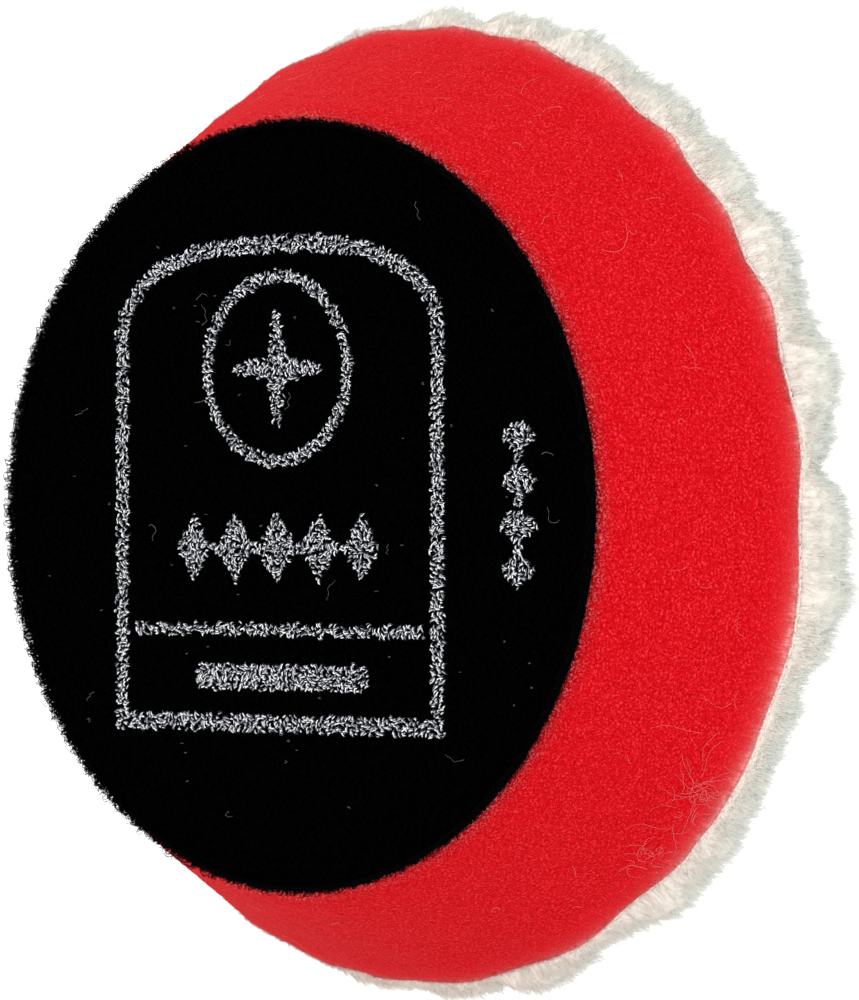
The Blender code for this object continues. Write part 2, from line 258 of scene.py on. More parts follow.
def along(points, step=0.05 * MM):
    """A profile (r, y) resampled so that 0..1 runs evenly along its length."""
    p = np.array(points, float)
    seg = np.concatenate([[0], np.cumsum(np.hypot(*np.diff(p, axis=0).T))])

    def at(share):
        d = np.clip(share, 0, 1) * seg[-1]
        return np.interp(d, seg, p[:, 0]), np.interp(d, seg, p[:, 1])
    at.length = seg[-1]
    return at


def disc_grid(n):
    """An even square grid folded onto a disc: (share of the radius, angle), and its quads."""
    a = np.linspace(-1, 1, n + 1)
    x, z = np.meshgrid(a, a, indexing="ij")
    x, z = x.ravel(), z.ravel()
    big = np.abs(x) > np.abs(z)
    r = np.where(big, x, z)
    with np.errstate(divide="ignore", invalid="ignore"):
        phi = np.where(big, (np.pi / 4) * (z / np.where(big, x, 1)),
                       np.pi / 2 - (np.pi / 4) * (x / np.where(big | (z == 0), 1, z)))
    phi = np.where(r < 0, phi + np.pi, phi)
    share = np.abs(r)
    idx = np.arange((n + 1) ** 2).reshape(n + 1, n + 1)
    quads = np.stack([idx[:-1, :-1], idx[1:, :-1], idx[1:, 1:], idx[:-1, 1:]], -1).reshape(-1, 4)
    border = np.concatenate([idx[:-1, 0], idx[-1, :-1], idx[:0:-1, -1], idx[0, :0:-1]])
    return share, phi, quads, border


def polar(r, y, th):
    return np.stack([r * np.cos(th), np.broadcast_to(y, np.shape(r * th)) + 0 * th, r * np.sin(th)], -1)


# ----------------------------------------------------------------- materials
def new_mat(name, colour, rough, spec=0.3, sheen=0.0, sheen_rough=0.5, sheen_tint=(1, 1, 1)):
    m = bpy.data.materials.new(name)
    m.use_nodes = True
    b = m.node_tree.nodes["Principled BSDF"]
    b.inputs["Base Color"].default_value = (*colour, 1)
    b.inputs["Roughness"].default_value = rough
    b.inputs["Specular IOR Level"].default_value = spec
    b.inputs["Sheen Weight"].default_value = sheen
    b.inputs["Sheen Roughness"].default_value = sheen_rough
    b.inputs["Sheen Tint"].default_value = (*sheen_tint, 1)
    m.diffuse_color = (*colour, 1)
    return m


class Nodes:
    """Short names for the nodes that the procedural materials use."""

    def __init__(self, mat):
        self.t = mat.node_tree
        self.shader = self.t.nodes["Principled BSDF"]

    def add(self, kind, **values):
        n = self.t.nodes.new(kind)
        for key, val in values.items():
            if hasattr(n, key):
                setattr(n, key, val)
            else:
                n.inputs[key.replace("_", " ")].default_value = val
        return n

    def link(self, a, b):
        self.t.links.new(a, b)

    def noise(self, where, scale, detail=3.0, rough=0.55):
        n = self.add("ShaderNodeTexNoise")
        n.inputs["Scale"].default_value = scale
        n.inputs["Detail"].default_value = detail
        n.inputs["Roughness"].default_value = rough
        self.link(where, n.inputs["Vector"])
        return n.outputs["Fac"]

    def ramp(self, fac, stops):
        n = self.add("ShaderNodeValToRGB")
        e = n.color_ramp.elements
        while len(e) < len(stops):
            e.new(0.5)
        for el, (pos, col) in zip(e, stops):
            el.position = pos
            el.color = (*col, 1) if len(col) == 3 else col
        self.link(fac, n.inputs["Fac"])
        return n.outputs["Color"]

    def mix(self, fac, a, b, mode="MIX"):
        n = self.add("ShaderNodeMix")
        n.data_type = "RGBA"
        n.blend_type = mode
        if isinstance(fac, (int, float)):
            n.inputs[0].default_value = fac
        else:
            self.link(fac, n.inputs[0])
        for sock, v in ((n.inputs[6], a), (n.inputs[7], b)):
            if isinstance(v, tuple):
                sock.default_value = (*v, 1)
            else:
                self.link(v, sock)
        return n.outputs[2]

    def math(self, op, a, b=None):
        n = self.add("ShaderNodeMath")
        n.operation = op
        for sock, v in ((n.inputs[0], a), (n.inputs[1], b)):
            if v is None:
                continue
            if isinstance(v, (int, float)):
                sock.default_value = v
            else:
                self.link(v, sock)
        return n.outputs[0]

    def place(self):
        return self.add("ShaderNodeTexCoord").outputs["Object"]

    def bump(self, height, strength, distance, onto=None):
        n = self.add("ShaderNodeBump")
        n.inputs["Strength"].default_value = strength
        n.inputs["Distance"].default_value = distance
        self.link(height, n.inputs["Height"])
        if onto is not None:
            self.link(onto, n.inputs["Normal"])
        return n.outputs["Normal"]

    def around(self, turn_scale, y_scale, r_scale):
        """Coordinates (angle round Y, y, distance from Y), each times its scale."""
        sep = self.add("ShaderNodeSeparateXYZ")
        self.link(self.place(), sep.inputs[0])
        x, y, z = sep.outputs
        ang = self.math("ARCTAN2", z, x)
        rad = self.math("SQRT", self.math("ADD", self.math("MULTIPLY", x, x), self.math("MULTIPLY", z, z)))
        comb = self.add("ShaderNodeCombineXYZ")
        self.link(self.math("MULTIPLY", ang, turn_scale), comb.inputs[0])
        self.link(self.math("MULTIPLY", y, y_scale), comb.inputs[1])
        self.link(self.math("MULTIPLY", rad, r_scale), comb.inputs[2])
        return comb.outputs[0]


# Red foam: a cut open-cell face with a fine nap, paler towards the rim, where painted sheen stands in for light
# scattered by its fuzz.
foam_mat = new_mat("foam_red", (0.50, 0.003, 0.008), 0.95, spec=0.03,
                   sheen=0.04, sheen_rough=0.5, sheen_tint=(1.0, 0.5, 0.5))
N = Nodes(foam_mat)
at = N.place()
grain = N.noise(at, 4300.0, 2.0, 0.70)
fine = N.noise(at, 7500.0, 2.0, 0.7)
patch = N.noise(at, 150.0, 3.0, 0.5)
base = N.ramp(grain, [(0.26, (0.255, 0.0002, 0.0010)), (0.42, (0.432, 0.0008, 0.0034)),
                      (0.56, (0.542, 0.0028, 0.0088)), (0.72, (0.650, 0.0440, 0.0550))])
base = N.mix(N.math("MULTIPLY", patch, 0.14), base, (0.39, 0.0010, 0.0044))
sep = N.add("ShaderNodeSeparateXYZ")
N.link(at, sep.inputs[0])
nap = N.noise(N.around(60.0, 500.0, 300.0), 1.0, 3.0, 0.6)
broad = N.add("ShaderNodeMapRange")
broad.interpolation_type = "SMOOTHSTEP"
N.link(sep.outputs[1], broad.inputs["Value"])
broad.inputs["From Min"].default_value = FOAM_HI - 4.5 * MM
broad.inputs["From Max"].default_value = FOAM_HI - 0.2 * MM
base = N.mix(N.math("MULTIPLY", broad.outputs["Result"], 0.36), base, (0.56, 0.0100, 0.0180))
# painted sheen: a pale band at the rim stands in for light scattered by the fine fuzz there; where the rim stands out
# in a wave the band is wider
far = N.math("SQRT", N.math("ADD", N.math("MULTIPLY", sep.outputs[0], sep.outputs[0]),
                            N.math("MULTIPLY", sep.outputs[2], sep.outputs[2])))
cone = N.math("ADD", N.math("MULTIPLY", sep.outputs[1], (RIM_R - FOAM_R0) / FOAM_HI), FOAM_R0)
proud = N.math("MULTIPLY", N.math("SUBTRACT", far, cone), 0.9)
sheen_band_height = N.math("ADD", N.math("ADD", sep.outputs[1], N.math("MULTIPLY", nap, 0.8 * MM)), proud)
edge = N.add("ShaderNodeMapRange")
N.link(sheen_band_height, edge.inputs["Value"])
edge.inputs["From Min"].default_value = FOAM_HI - 2.0 * MM
edge.inputs["From Max"].default_value = FOAM_HI + 0.55 * MM
painted_sheen_fade = N.ramp(edge.outputs["Result"], [(0.0, (0.0,) * 3), (0.40, (0.014,) * 3), (0.62, (0.046,) * 3),
                                       (0.80, (0.12,) * 3), (0.92, (0.29,) * 3), (1.0, (0.52,) * 3)])
comb = N.noise(N.around(270.0, 650.0, 300.0), 1.0, 2.0, 0.6)
hatch = N.math("MAXIMUM", N.math("SUBTRACT", N.math("ADD", N.math("MULTIPLY", comb, 2.4), fine), 0.72), 0.0)
base = N.mix(N.math("MULTIPLY", painted_sheen_fade, hatch), base, (0.79, 0.36, 0.34))
# painted shade: the foam's colour darkens into the crevice beside the mat, where shade falls, under a sprinkle of
# pale cell ends
crease_shade_depth = N.add("ShaderNodeMapRange")
N.link(N.math("SUBTRACT", sep.outputs[1], N.math("MULTIPLY", nap, 0.25 * MM)), crease_shade_depth.inputs["Value"])
crease_shade_depth.inputs["From Min"].default_value = 0.55 * MM
crease_shade_depth.inputs["From Max"].default_value = 2.35 * MM
painted_crease_shade = N.ramp(crease_shade_depth.outputs["Result"], [(0.0, (0.40,) * 3), (0.14, (0.70,) * 3), (0.32, (0.89,) * 3),
                                         (0.60, (0.97,) * 3), (1.0, (1.0,) * 3)])
base = N.mix(1.0, base, painted_crease_shade, "MULTIPLY")
foot = N.add("ShaderNodeMapRange")
N.link(N.math("SUBTRACT", sep.outputs[1], N.math("MULTIPLY", nap, 1.2 * MM)), foot.inputs["Value"])
foot.inputs["From Min"].default_value = 1.30 * MM
foot.inputs["From Max"].default_value = -0.50 * MM
dots = N.noise(at, 4600.0, 1.0, 0.5)
speck = N.add("ShaderNodeMapRange")
N.link(N.math("ADD", N.math("ADD", dots, N.math("MULTIPLY", patch, 0.10)),
              N.math("MULTIPLY", foot.outputs["Result"], 0.15)), speck.inputs["Value"])
speck.inputs["From Min"].default_value = 0.65
speck.inputs["From Max"].default_value = 0.87
base = N.mix(N.math("MULTIPLY", speck.outputs["Result"], N.math("POWER", foot.outputs["Result"], 0.6)),
             base, (0.66, 0.14, 0.15))
N.link(base, N.shader.inputs["Base Color"])
N.link(N.bump(fine, 0.20, 0.00004, N.bump(grain, 0.45, 0.00010)), N.shader.inputs["Normal"])

foam_red_fibre = new_mat("foam_fibre_red", (0.52, 0.005, 0.011), 0.9, spec=0.02, sheen=0.03)
foam_nap_mat = new_mat("foam_nap_red", (0.58, 0.021, 0.029), 0.9, spec=0.02, sheen=0.05)
foam_fuzz_mat = new_mat("foam_fuzz_pink", (0.64, 0.105, 0.112), 0.9, spec=0.02, sheen=0.05)
foam_fuzz_pale = new_mat("foam_fuzz_pale", (0.75, 0.38, 0.36), 0.9, spec=0.02, sheen=0.05)
lint_mat = new_mat("lint_hair", (0.76, 0.165, 0.17), 0.8, spec=0.05, sheen=0.05)
lint_white = new_mat("lint_hair_white", (0.20, 0.20, 0.19), 0.8, spec=0.05, sheen=0.05)

# Black loop pile and its knitted ground.
mat_black = new_mat("loop_mat_black", (0.0004, 0.0004, 0.0005), 0.95, spec=0.0)
N = Nodes(mat_black)
at = N.place()
fuzz = N.noise(at, 2600.0, 3.0, 0.7)
N.link(N.ramp(fuzz, [(0.45, (0.0002, 0.0002, 0.0003)), (0.64, (0.0008, 0.0008, 0.0010)),
                     (0.80, (0.0030, 0.0030, 0.0034))]), N.shader.inputs["Base Color"])
N.link(N.bump(fuzz, 0.9, 0.00025), N.shader.inputs["Normal"])
loop_mat = new_mat("loop_fibre_black", (0.0014, 0.0014, 0.0017), 0.60, spec=0.012)
loop_edge_mat = new_mat("loop_fibre_edge", (0.0016, 0.0016, 0.0020), 0.80, spec=0.012)
knit_mat = new_mat("loop_ground_black", (0.002, 0.002, 0.0025), 0.9, spec=0.01)
N = Nodes(knit_mat)
rib = N.add("ShaderNodeTexWave")
rib.inputs["Scale"].default_value = 60.0
rib.inputs["Distortion"].default_value = 1.5
N.link(N.around(14.0, 600.0, 40.0), rib.inputs["Vector"])
N.link(N.ramp(rib.outputs["Fac"], [(0.2, (0.001, 0.001, 0.0012)), (0.9, (0.005, 0.005, 0.006))]),
       N.shader.inputs["Base Color"])
N.link(N.bump(rib.outputs["Fac"], 0.8, 0.0002), N.shader.inputs["Normal"])

# White emblem yarn, with a half-shaded and a shaded copy for painted shade.
yarn_mats = [new_mat("emblem_yarn_bright", (0.91, 0.92, 0.95), 0.55, spec=0.25, sheen=0.1),
             new_mat("emblem_yarn_painted_half_shade", (0.40, 0.42, 0.46), 0.60, spec=0.2, sheen=0.1),
             new_mat("emblem_yarn_painted_shade", (0.05, 0.053, 0.07), 0.65, spec=0.1)]

# Hot-melt films: a little glossy and cloudy.
film_mat = new_mat("hot_melt_film", (0.72, 0.68, 0.60), 0.35, spec=0.4)
N = Nodes(film_mat)
cloud = N.noise(N.place(), 700.0, 3.0, 0.6)
N.link(N.ramp(cloud, [(0.35, (0.60, 0.52, 0.44)), (0.65, (0.80, 0.76, 0.68))]),
       N.shader.inputs["Base Color"])
N.link(N.bump(cloud, 0.3, 0.0001), N.shader.inputs["Normal"])

# Wool: the cloth, the dense under-pile and the fibres from root to tip.
wcloth_mat = new_mat("wool_cloth_cream_painted_pink_bounce", (0.90, 0.83, 0.75), 0.85, spec=0.05, sheen=0.1)
N = Nodes(wcloth_mat)
weave = N.noise(N.around(300.0, 4200.0, 1500.0), 1.0, 2.0, 0.6)
# painted red bounce light: the cloth's cream weave is tinted pink, standing in for red light bounced from the foam
N.link(N.ramp(weave, [(0.3, (0.86, 0.60, 0.55)), (0.6, (0.95, 0.80, 0.75))]), N.shader.inputs["Base Color"])
N.link(N.bump(weave, 0.6, 0.00012), N.shader.inputs["Normal"])

under_mat = new_mat("wool_under_pile", (0.88, 0.86, 0.77), 0.95, spec=0.02, sheen=0.10, sheen_rough=0.6)
N = Nodes(under_mat)
streak = N.noise(N.around(330.0, 260.0, 260.0), 1.0, 4.0, 0.6)
blot = N.noise(N.place(), 190.0, 3.0, 0.5)
hairs = N.noise(N.place(), 3600.0, 3.0, 0.7)
# painted red bounce light: low down by the foam the under-pile is tinted pink for red light bounced from the foam;
# higher up it is cream
low_tone_red_bounce = N.ramp(streak, [(0.28, (0.73, 0.67, 0.61)), (0.50, (0.75, 0.705, 0.64)), (0.72, (0.77, 0.735, 0.67))])
high_tone = N.ramp(streak, [(0.28, (0.73, 0.72, 0.66)), (0.50, (0.75, 0.75, 0.69)), (0.72, (0.77, 0.77, 0.72))])
rise = N.add("ShaderNodeMapRange")
sep = N.add("ShaderNodeSeparateXYZ")
N.link(N.place(), sep.inputs[0])
N.link(N.math("ADD", sep.outputs[1], N.math("MULTIPLY", blot, 1.5 * MM)), rise.inputs["Value"])
rise.inputs["From Min"].default_value = WCLOTH_HI + 1.2 * MM
rise.inputs["From Max"].default_value = WCLOTH_HI + 6.5 * MM
tone = N.mix(rise.outputs["Result"], low_tone_red_bounce, high_tone)
N.link(tone, N.shader.inputs["Base Color"])
N.link(N.bump(hairs, 0.4, 0.00015, N.bump(streak, 0.5, 0.0003)), N.shader.inputs["Normal"])

# the root copy is pinker and brighter than the rest: painted red light bounced from the foam, and painted light
# against the shade at the foot of the pile
wool_mats = [new_mat("wool_root_painted_bounce", (0.855, 0.77, 0.70), 0.85, spec=0.02, sheen=0.08, sheen_rough=0.5),
             new_mat("wool_warm", (0.760, 0.735, 0.668), 0.85, spec=0.02, sheen=0.08, sheen_rough=0.5),
             new_mat("wool_cream", (0.755, 0.76, 0.695), 0.85, spec=0.02, sheen=0.08, sheen_rough=0.5),
             new_mat("wool_tip", (0.72, 0.74, 0.70), 0.85, spec=0.02, sheen=0.08, sheen_rough=0.5)]


# ---------------------------------------------------------------- foam core
def cut_short(th):
    """How far the mat's edge falls short of its circle over one part of it."""
    off = (th - 0.49 + np.pi) % (2 * np.pi) - np.pi
    return 0.16 * MM * np.exp(-(off / 0.42) ** 2)


def foam_radius(y, th):
    """Straight flank from the backing to the rim, waved towards the rim."""
    share = np.clip(y / FOAM_HI, 0, 1)
    wave = rim_wave_mm(th) * MM
    tuck = 0.52 * MM * np.exp(-(np.maximum(y, 0.7 * MM) - 0.7 * MM) / (1.25 * MM))
    tuck = tuck + cut_short(th) * np.exp(-(np.maximum(y, 0.7 * MM) - 0.7 * MM) / (1.6 * MM))
    return FOAM_R0 + (RIM_R - FOAM_R0) * share + wave * share ** 3.0 - tuck


def rim_radius(th):
    return foam_radius(FOAM_HI, th)


cols = 1060
th = np.linspace(0, 2 * np.pi, cols, endpoint=False)
inner = [(18.0, FOAM_LO / MM), (30.0, FOAM_LO / MM), (35.0, FOAM_LO / MM), (36.75, FOAM_LO / MM),
         (36.98, FOAM_LO / MM - 0.15), (37.02, 1.45), (37.02, 1.0), (37.03, 0.80), (37.07, 0.68),
         (37.14, 0.61), (37.22, 0.60), (37.30, 0.65), (37.36, 0.74)]
flank = np.linspace(0.88 * MM, FOAM_HI - 0.16 * MM, 72)
outer = [(-0.01, -0.10), (-0.05, -0.04), (-0.14, 0.0), (-0.60, 0.0), (-3.0, 0.0), (-14.0, 0.0), (-30.0, 0.0)]
rings = [np.stack([r * MM - cut_short(th) * (r > 36.9), np.full(cols, y * MM)], -1) for r, y in inner]
rings += [np.stack([foam_radius(y, th), np.full(cols, y)], -1) for y in flank]
rings += [np.stack([rim_radius(th) + r * MM, np.full(cols, FOAM_HI + y * MM)], -1) for r, y in outer]
RY = np.array(rings)
rows = len(rings)
P = np.stack([RY[..., 0] * np.cos(th), RY[..., 1], RY[..., 0] * np.sin(th)], -1).reshape(-1, 3)
level = np.repeat(np.arange(rows), cols)
skin = (level >= 8) & (level < rows - 4)
ang = np.tile(th, rows)
nrm = np.stack([np.cos(ang) * 0.89, np.full(len(ang), -0.457), np.sin(ang) * 0.89], -1)
swell = smooth_noise(P, 4.5 * MM, 3) * 0.08 * MM + smooth_noise(P, 1.4 * MM, 4) * 0.04 * MM
cells = smooth_noise(P, 0.55 * MM, 5) * 0.045 * MM + rng.normal(0, 0.022 * MM, len(P))
P = P + nrm * ((swell + cells) * skin)[:, None]
P[:, 1] = np.clip(P[:, 1], LIP_Y - 0.03 * MM, FOAM_HI)
grid = np.arange(rows * cols).reshape(rows, cols)
g2 = np.roll(grid, -1, axis=1)
quads = np.stack([grid[:-1], g2[:-1], g2[1:], grid[1:]], -1).reshape(-1, 4)
P = np.vstack([P, [[0, FOAM_LO, 0]], [[0, FOAM_HI, 0]]])
cap0 = np.stack([np.full(cols, rows * cols), g2[0], grid[0]], -1)
cap1 = np.stack([np.full(cols, rows * cols + 1), grid[-1], g2[-1]], -1)
foam = mesh_object("foam_body", P, [quads, cap0, cap1], foam_mat, "backing", closed=True)
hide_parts("foam_core")
soft_pieces = [foam]


# ------------------------------------------------- turned films and ground cloths
def disc_piece(name, radius_of, y0, y1, mat, body, edge=0.0, cols=720, rough=0.0, seed=1):
    """A thin disc with rounded edges whose radius may change with the angle."""
    th = np.linspace(0, 2 * np.pi, cols, endpoint=False)
    rim = radius_of(th)
    rings = []
    inner = (0.35, 0.62, 0.80, 0.90, 0.96)
    for k in inner:
        rings.append((rim * k, np.full(cols, y0)))
    for a in np.radians([-90, -60, -30, 0, 30, 60, 90]):
        half = (y1 - y0) / 2
        e = edge if edge else half
        rings.append((rim - e + e * np.cos(a), np.full(cols, y0 + half) + half * np.sin(a)))
    for k in inner[::-1]:
        rings.append((rim * k, np.full(cols, y1)))
    P = np.concatenate([np.stack([r * np.cos(th), y, r * np.sin(th)], -1) for r, y in rings])
    if rough:
        P = P + (rng.normal(0, rough, P.shape) * (np.hypot(P[:, 0], P[:, 2]) > 0.97 * rim.mean())[:, None])
        P[:, 1] = np.clip(P[:, 1], y0, y1)
    n = len(rings)
    grid = np.arange(n * cols).reshape(n, cols)
    g2 = np.roll(grid, -1, axis=1)
    quads = np.stack([grid[:-1], g2[:-1], g2[1:], grid[1:]], -1).reshape(-1, 4)
    P = np.vstack([P, [[0, y0, 0]], [[0, y1, 0]]])
    cap0 = np.stack([np.full(cols, n * cols), g2[0], grid[0]], -1)
    cap1 = np.stack([np.full(cols, n * cols + 1), grid[-1], g2[-1]], -1)
    return mesh_object(name, P, [quads, cap0, cap1], mat, body, closed=True)


knit = disc_piece("loop_knit_ground", lambda t: np.full_like(t, LOOP_R - 0.10 * MM) + 0.03 * MM * np.sin(97 * t),
                  MAT_BACK + 0.01 * MM, KNIT_BACK, knit_mat, "backing", rough=0.02 * MM)
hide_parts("loop_ground_cloth")
film = disc_piece("loop_film", lambda t: np.full_like(t, LOOP_R - 0.30 * MM) + 0.05 * MM * np.sin(31 * t + 1),
                  KNIT_BACK + 0.01 * MM, FILM_BACK, film_mat, "backing")
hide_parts("backing_adhesive")
film2 = disc_piece("wool_film", lambda t: rim_radius(t) + 0.05 * MM,
                   FOAM_HI + 0.01 * MM, FILM2_HI, film_mat, "wool_face", cols=1440)
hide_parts("face_adhesive")
wcloth = disc_piece("wool_cloth", lambda t: rim_radius(t) + (0.10 + 0.03 * np.sin(61 * t) * np.sin(23 * t + 1)) * MM,
                    FILM2_HI + 0.01 * MM, WCLOTH_HI, wcloth_mat, "wool_face",
                    edge=0.10 * MM, cols=1440, rough=0.050 * MM)
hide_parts("wool_ground_cloth")


# ------------------------------------------------------------------ loop mat
def mat_profile():
    pts = [(0.0, 0.02 * MM), (LOOP_R - 0.55 * MM, 0.02 * MM)]
    for a in np.radians([75, 55, 35, 15, 0]):
        pts.append((LOOP_R - 0.55 * MM + 0.55 * MM * math.cos(a), 0.57 * MM - 0.55 * MM * math.sin(a)))
    pts += [(LOOP_R, MAT_BACK - 0.1 * MM), (LOOP_R - 0.05 * MM, MAT_BACK)]
    return along(pts)


prof = mat_profile()
share, phi, quads, border = disc_grid(236)
r, y = prof(share)
P = polar(r, y, phi)
down = np.clip((LOOP_R - 0.3 * MM - r) / (0.6 * MM), 0, 1)
knobs = 0.07 * MM * np.sin(P[:, 0] / (0.55 * MM) * 2 * np.pi) * np.sin(P[:, 2] / (0.62 * MM) * 2 * np.pi)
P[:, 1] += down * (knobs + 0.09 * MM * smooth_noise(P, 1.3 * MM, 8) + rng.normal(0, 0.03 * MM, len(P))) + down * 0.12 * MM
out = (1 - down) * rng.normal(0, 0.03 * MM, len(P)) - cut_short(phi) * np.clip((r - 34 * MM) / (2 * MM), 0, 1)
P[:, 0] += out * np.cos(phi)
P[:, 2] += out * np.sin(phi)
centre = len(P)
P = np.vstack([P, [[0, MAT_BACK, 0]]])
fan = np.stack([np.full(len(border), centre), border, np.roll(border, -1)], -1)
P[border, 1] = MAT_BACK
# the fan must run against the grid's own direction round the border
first = quads[np.any(quads == border[0], axis=1) & np.any(quads == border[1], axis=1)][0]
pos = {int(v): k for k, v in enumerate(first)}
same = (pos[int(border[0])] + 1) % 4 == pos[int(border[1])]
if same:
    fan = fan[:, ::-1]
mat = mesh_object("loop_mat", P, [quads, fan], mat_black, "backing", closed=True)
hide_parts("loop_pile")


# ------------------------------------------------------- emblem areas, in mm
def in_frame_line(x, z):
    cx, half, low, sh, rise, line = -1.75, 20.25, -21.2, 16.5, 8.9, 0.8

    def inside(off):
        h = half + off
        u = np.clip(np.abs((x - cx) / h), 0, 1)
        c = u ** (1 / 0.72)
        top = sh + (rise + off) * np.sqrt(np.maximum(1 - c * c, 0)) ** 0.95
        return (np.abs(x - cx) <= h) & (z >= low - off) & (z <= top)
    return inside(line) & ~inside(-line)


def in_divider(x, z):
    return (np.abs(x + 1.75) <= 18.6) & (np.abs(z + 12.1) <= 0.55)


def in_ring(x, z):
    d = np.hypot(x + 1.75, z - 13.3)
    return np.abs(d - 9.0) <= 0.62


def in_spark(x, z):
    dx, dz = np.abs(x + 1.75), np.abs(z - 13.3)
    waist = 1.7 * 0.7071
    # each arm narrows in a straight line from the waist to its blunt tip
    a = (dz <= waist + (0.40 - waist) * np.clip((dx - waist) / (5.6 - waist), 0, 1)) & (dx <= 5.6)
    b = (dx <= waist + (0.40 - waist) * np.clip((dz - waist) / (5.6 - waist), 0, 1)) & (dz <= 5.6)
    return a | b


def lozenges(x, z, cx, cz, pitch, sizes, hw, hh, tie):
    n = len(sizes)
    first = -pitch * (n - 1) / 2
    hit = (np.abs(z - cz) <= tie) & (np.abs(x - cx) <= -first)
    for k, s in enumerate(sizes):
        hit |= np.abs(x - cx - first - k * pitch) / (hw * s) + np.abs(z - cz) / (hh * s) <= 1
    return hit


def in_band(x, z):
    return lozenges(x, z, -1.75, -4.1, 5.4, (.90, .95, 1.0, .95, .90), 2.55, 3.7, 0.5)


def in_side(x, z):
    return lozenges(z, x, 0.2, 28.3, 4.2, (.94, 1.0, .98, .92), 1.9, 2.5, 0.5)


def in_bar(x, z):
    dx = np.maximum(np.abs(x + 1.2) - 9.9, 0)
    return np.hypot(dx, z + 16.7) <= 1.3


MOTIFS = {"emblem_border": (in_frame_line, (-23, 20, -23, 27)),
          "emblem_divider": (in_divider, (-21, 18, -13, -11)),
          "emblem_ring": (in_ring, (-12, 8.5, 3, 24)),
          "emblem_spark": (in_spark, (-8, 5, 7, 20)),
          "emblem_diamond_band": (in_band, (-16, 13, -8.5, 0.5)),
          "emblem_lower_bar": (in_bar, (-13, 11, -18.5, -15)),
          "emblem_side_band": (in_side, (25, 31.5, -8.5, 9))}


def scatter(inside, box, spacing):
    """Points (mm) about spacing apart that lie inside an outline."""
    x0, x1, z0, z1 = box
    nx, nz = int((x1 - x0) / spacing), int((z1 - z0) / (spacing * 0.87))
    gx, gz = np.meshgrid(np.arange(nx), np.arange(nz), indexing="ij")
    x = x0 + (gx + 0.5 * (gz % 2)) * spacing
    z = z0 + gz * spacing * 0.87
    x = x + rng.uniform(-0.30, 0.30, x.shape) * spacing
    z = z + rng.uniform(-0.30, 0.30, z.shape) * spacing
    x, z = x.ravel(), z.ravel()
    keep = inside(x, z)
    return x[keep], z[keep]


def arcs(x, z, y0, height, span, heading, lean, s, wobble=0.0):
    """Arched paths over the points (mm in, metres out): feet at y0, crown at -height."""
    n = len(x)
    w = np.linspace(0, 1, s)[None, :]
    dx, dz = np.cos(heading)[:, None], np.sin(heading)[:, None]
    px, pz = -dz, dx
    reach = (w - 0.5) * span[:, None]
    rise = np.sin(np.pi * w) ** 0.8
    side = lean[:, None] * rise + wobble * np.sin(2 * np.pi * w + rng.uniform(0, 6.28, n)[:, None])
    X = x[:, None] + reach * dx + side * px
    Z = z[:, None] + reach * dz + side * pz
    Yv = y0 - height[:, None] * rise
    return np.stack([X * MM, Yv * MM, Z * MM], -1)


for node, (inside, box) in MOTIFS.items():
    x, z = scatter(inside, box, 0.415)
    n = len(x)
    s = 6
    span = rng.uniform(0.38, 0.82, n)
    turn = smooth_noise(np.stack([x, z, 0 * x], -1) * MM, 1.6 * MM, 12, 1) * 3.2 + rng.normal(0, 0.45, n)
    height = rng.uniform(0.10, 0.36, n)
    lean = rng.normal(0, 0.12, n)
    tone = rng.choice([0, 0, 0, 0, 1, 1], n)
    paths, radii, shade = [], [], []
    for k, (low, high) in enumerate(((0.050, 0.078), (0.020, 0.036))):     # a strand and a thin ply beside it
        off = 0.0 if k == 0 else 0.13
        dx = -np.sin(turn) * off + rng.normal(0, 0.02, n)
        dz = np.cos(turn) * off + rng.normal(0, 0.02, n)
        p = arcs(x + dx, z + dz, 0.16, height * rng.uniform(0.9, 1.1, n), span * rng.uniform(0.8, 1.1, n),
                 turn + rng.normal(0, 0.12 * (1 + k), n), lean + rng.normal(0, 0.03, n), s, 0.03)
        paths.append(p)
        rad = rng.uniform(low, high, n)[:, None] * MM * (0.55 + 0.45 * np.sin(np.pi * np.linspace(0, 1, s)))[None]
        radii.append(rad)
        # painted shade: each loop's ends, where it dips into the pile, take the darkest copy; the thin ply and a
        # random third of the loops step one copy darker
        shade.append(np.minimum(np.array([2, 0, 0, 0, 2])[None, :] + tone[:, None] + (k if k else 0), 2))
    co, faces, idx = tubes(np.concatenate(paths), np.concatenate(radii), shade=np.concatenate(shade))
    yarn = mesh_object(node + "_yarn", co, faces, yarn_mats, "backing", index=idx)
    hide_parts(node)


def emblem_near(x, z):
    hit = np.zeros(len(x), bool)
    for inside, _ in MOTIFS.values():
        hit |= inside(x, z)
    return hit


# -------------------------------------------------- black loops on the backing
def black_loops(name, x, z, scale=1.0):
    n = len(x)
    s = 5
    p = arcs(x, z, 0.16, rng.uniform(0.20, 0.45, n) * scale, rng.uniform(0.30, 0.65, n),
             rng.uniform(0, np.pi, n), rng.normal(0, 0.18, n), s, 0.04)
    rad = rng.uniform(0.026, 0.042, n)[:, None] * MM * np.ones((1, s))
    co, faces, _ = tubes(p, rad)
    return mesh_object(name, co, faces, loop_mat, "backing")


gx, gz = scatter(lambda a, b: np.hypot(a, b) < 36.4, (-37.5, 37.5, -37.5, 37.5), 0.78)
keep = ~emblem_near(gx, gz)
gx, gz = gx[keep], gz[keep]
black_loops("loop_pile_left", gx[gx < 0], gz[gx < 0])
black_loops("loop_pile_right", gx[gx >= 0], gz[gx >= 0])


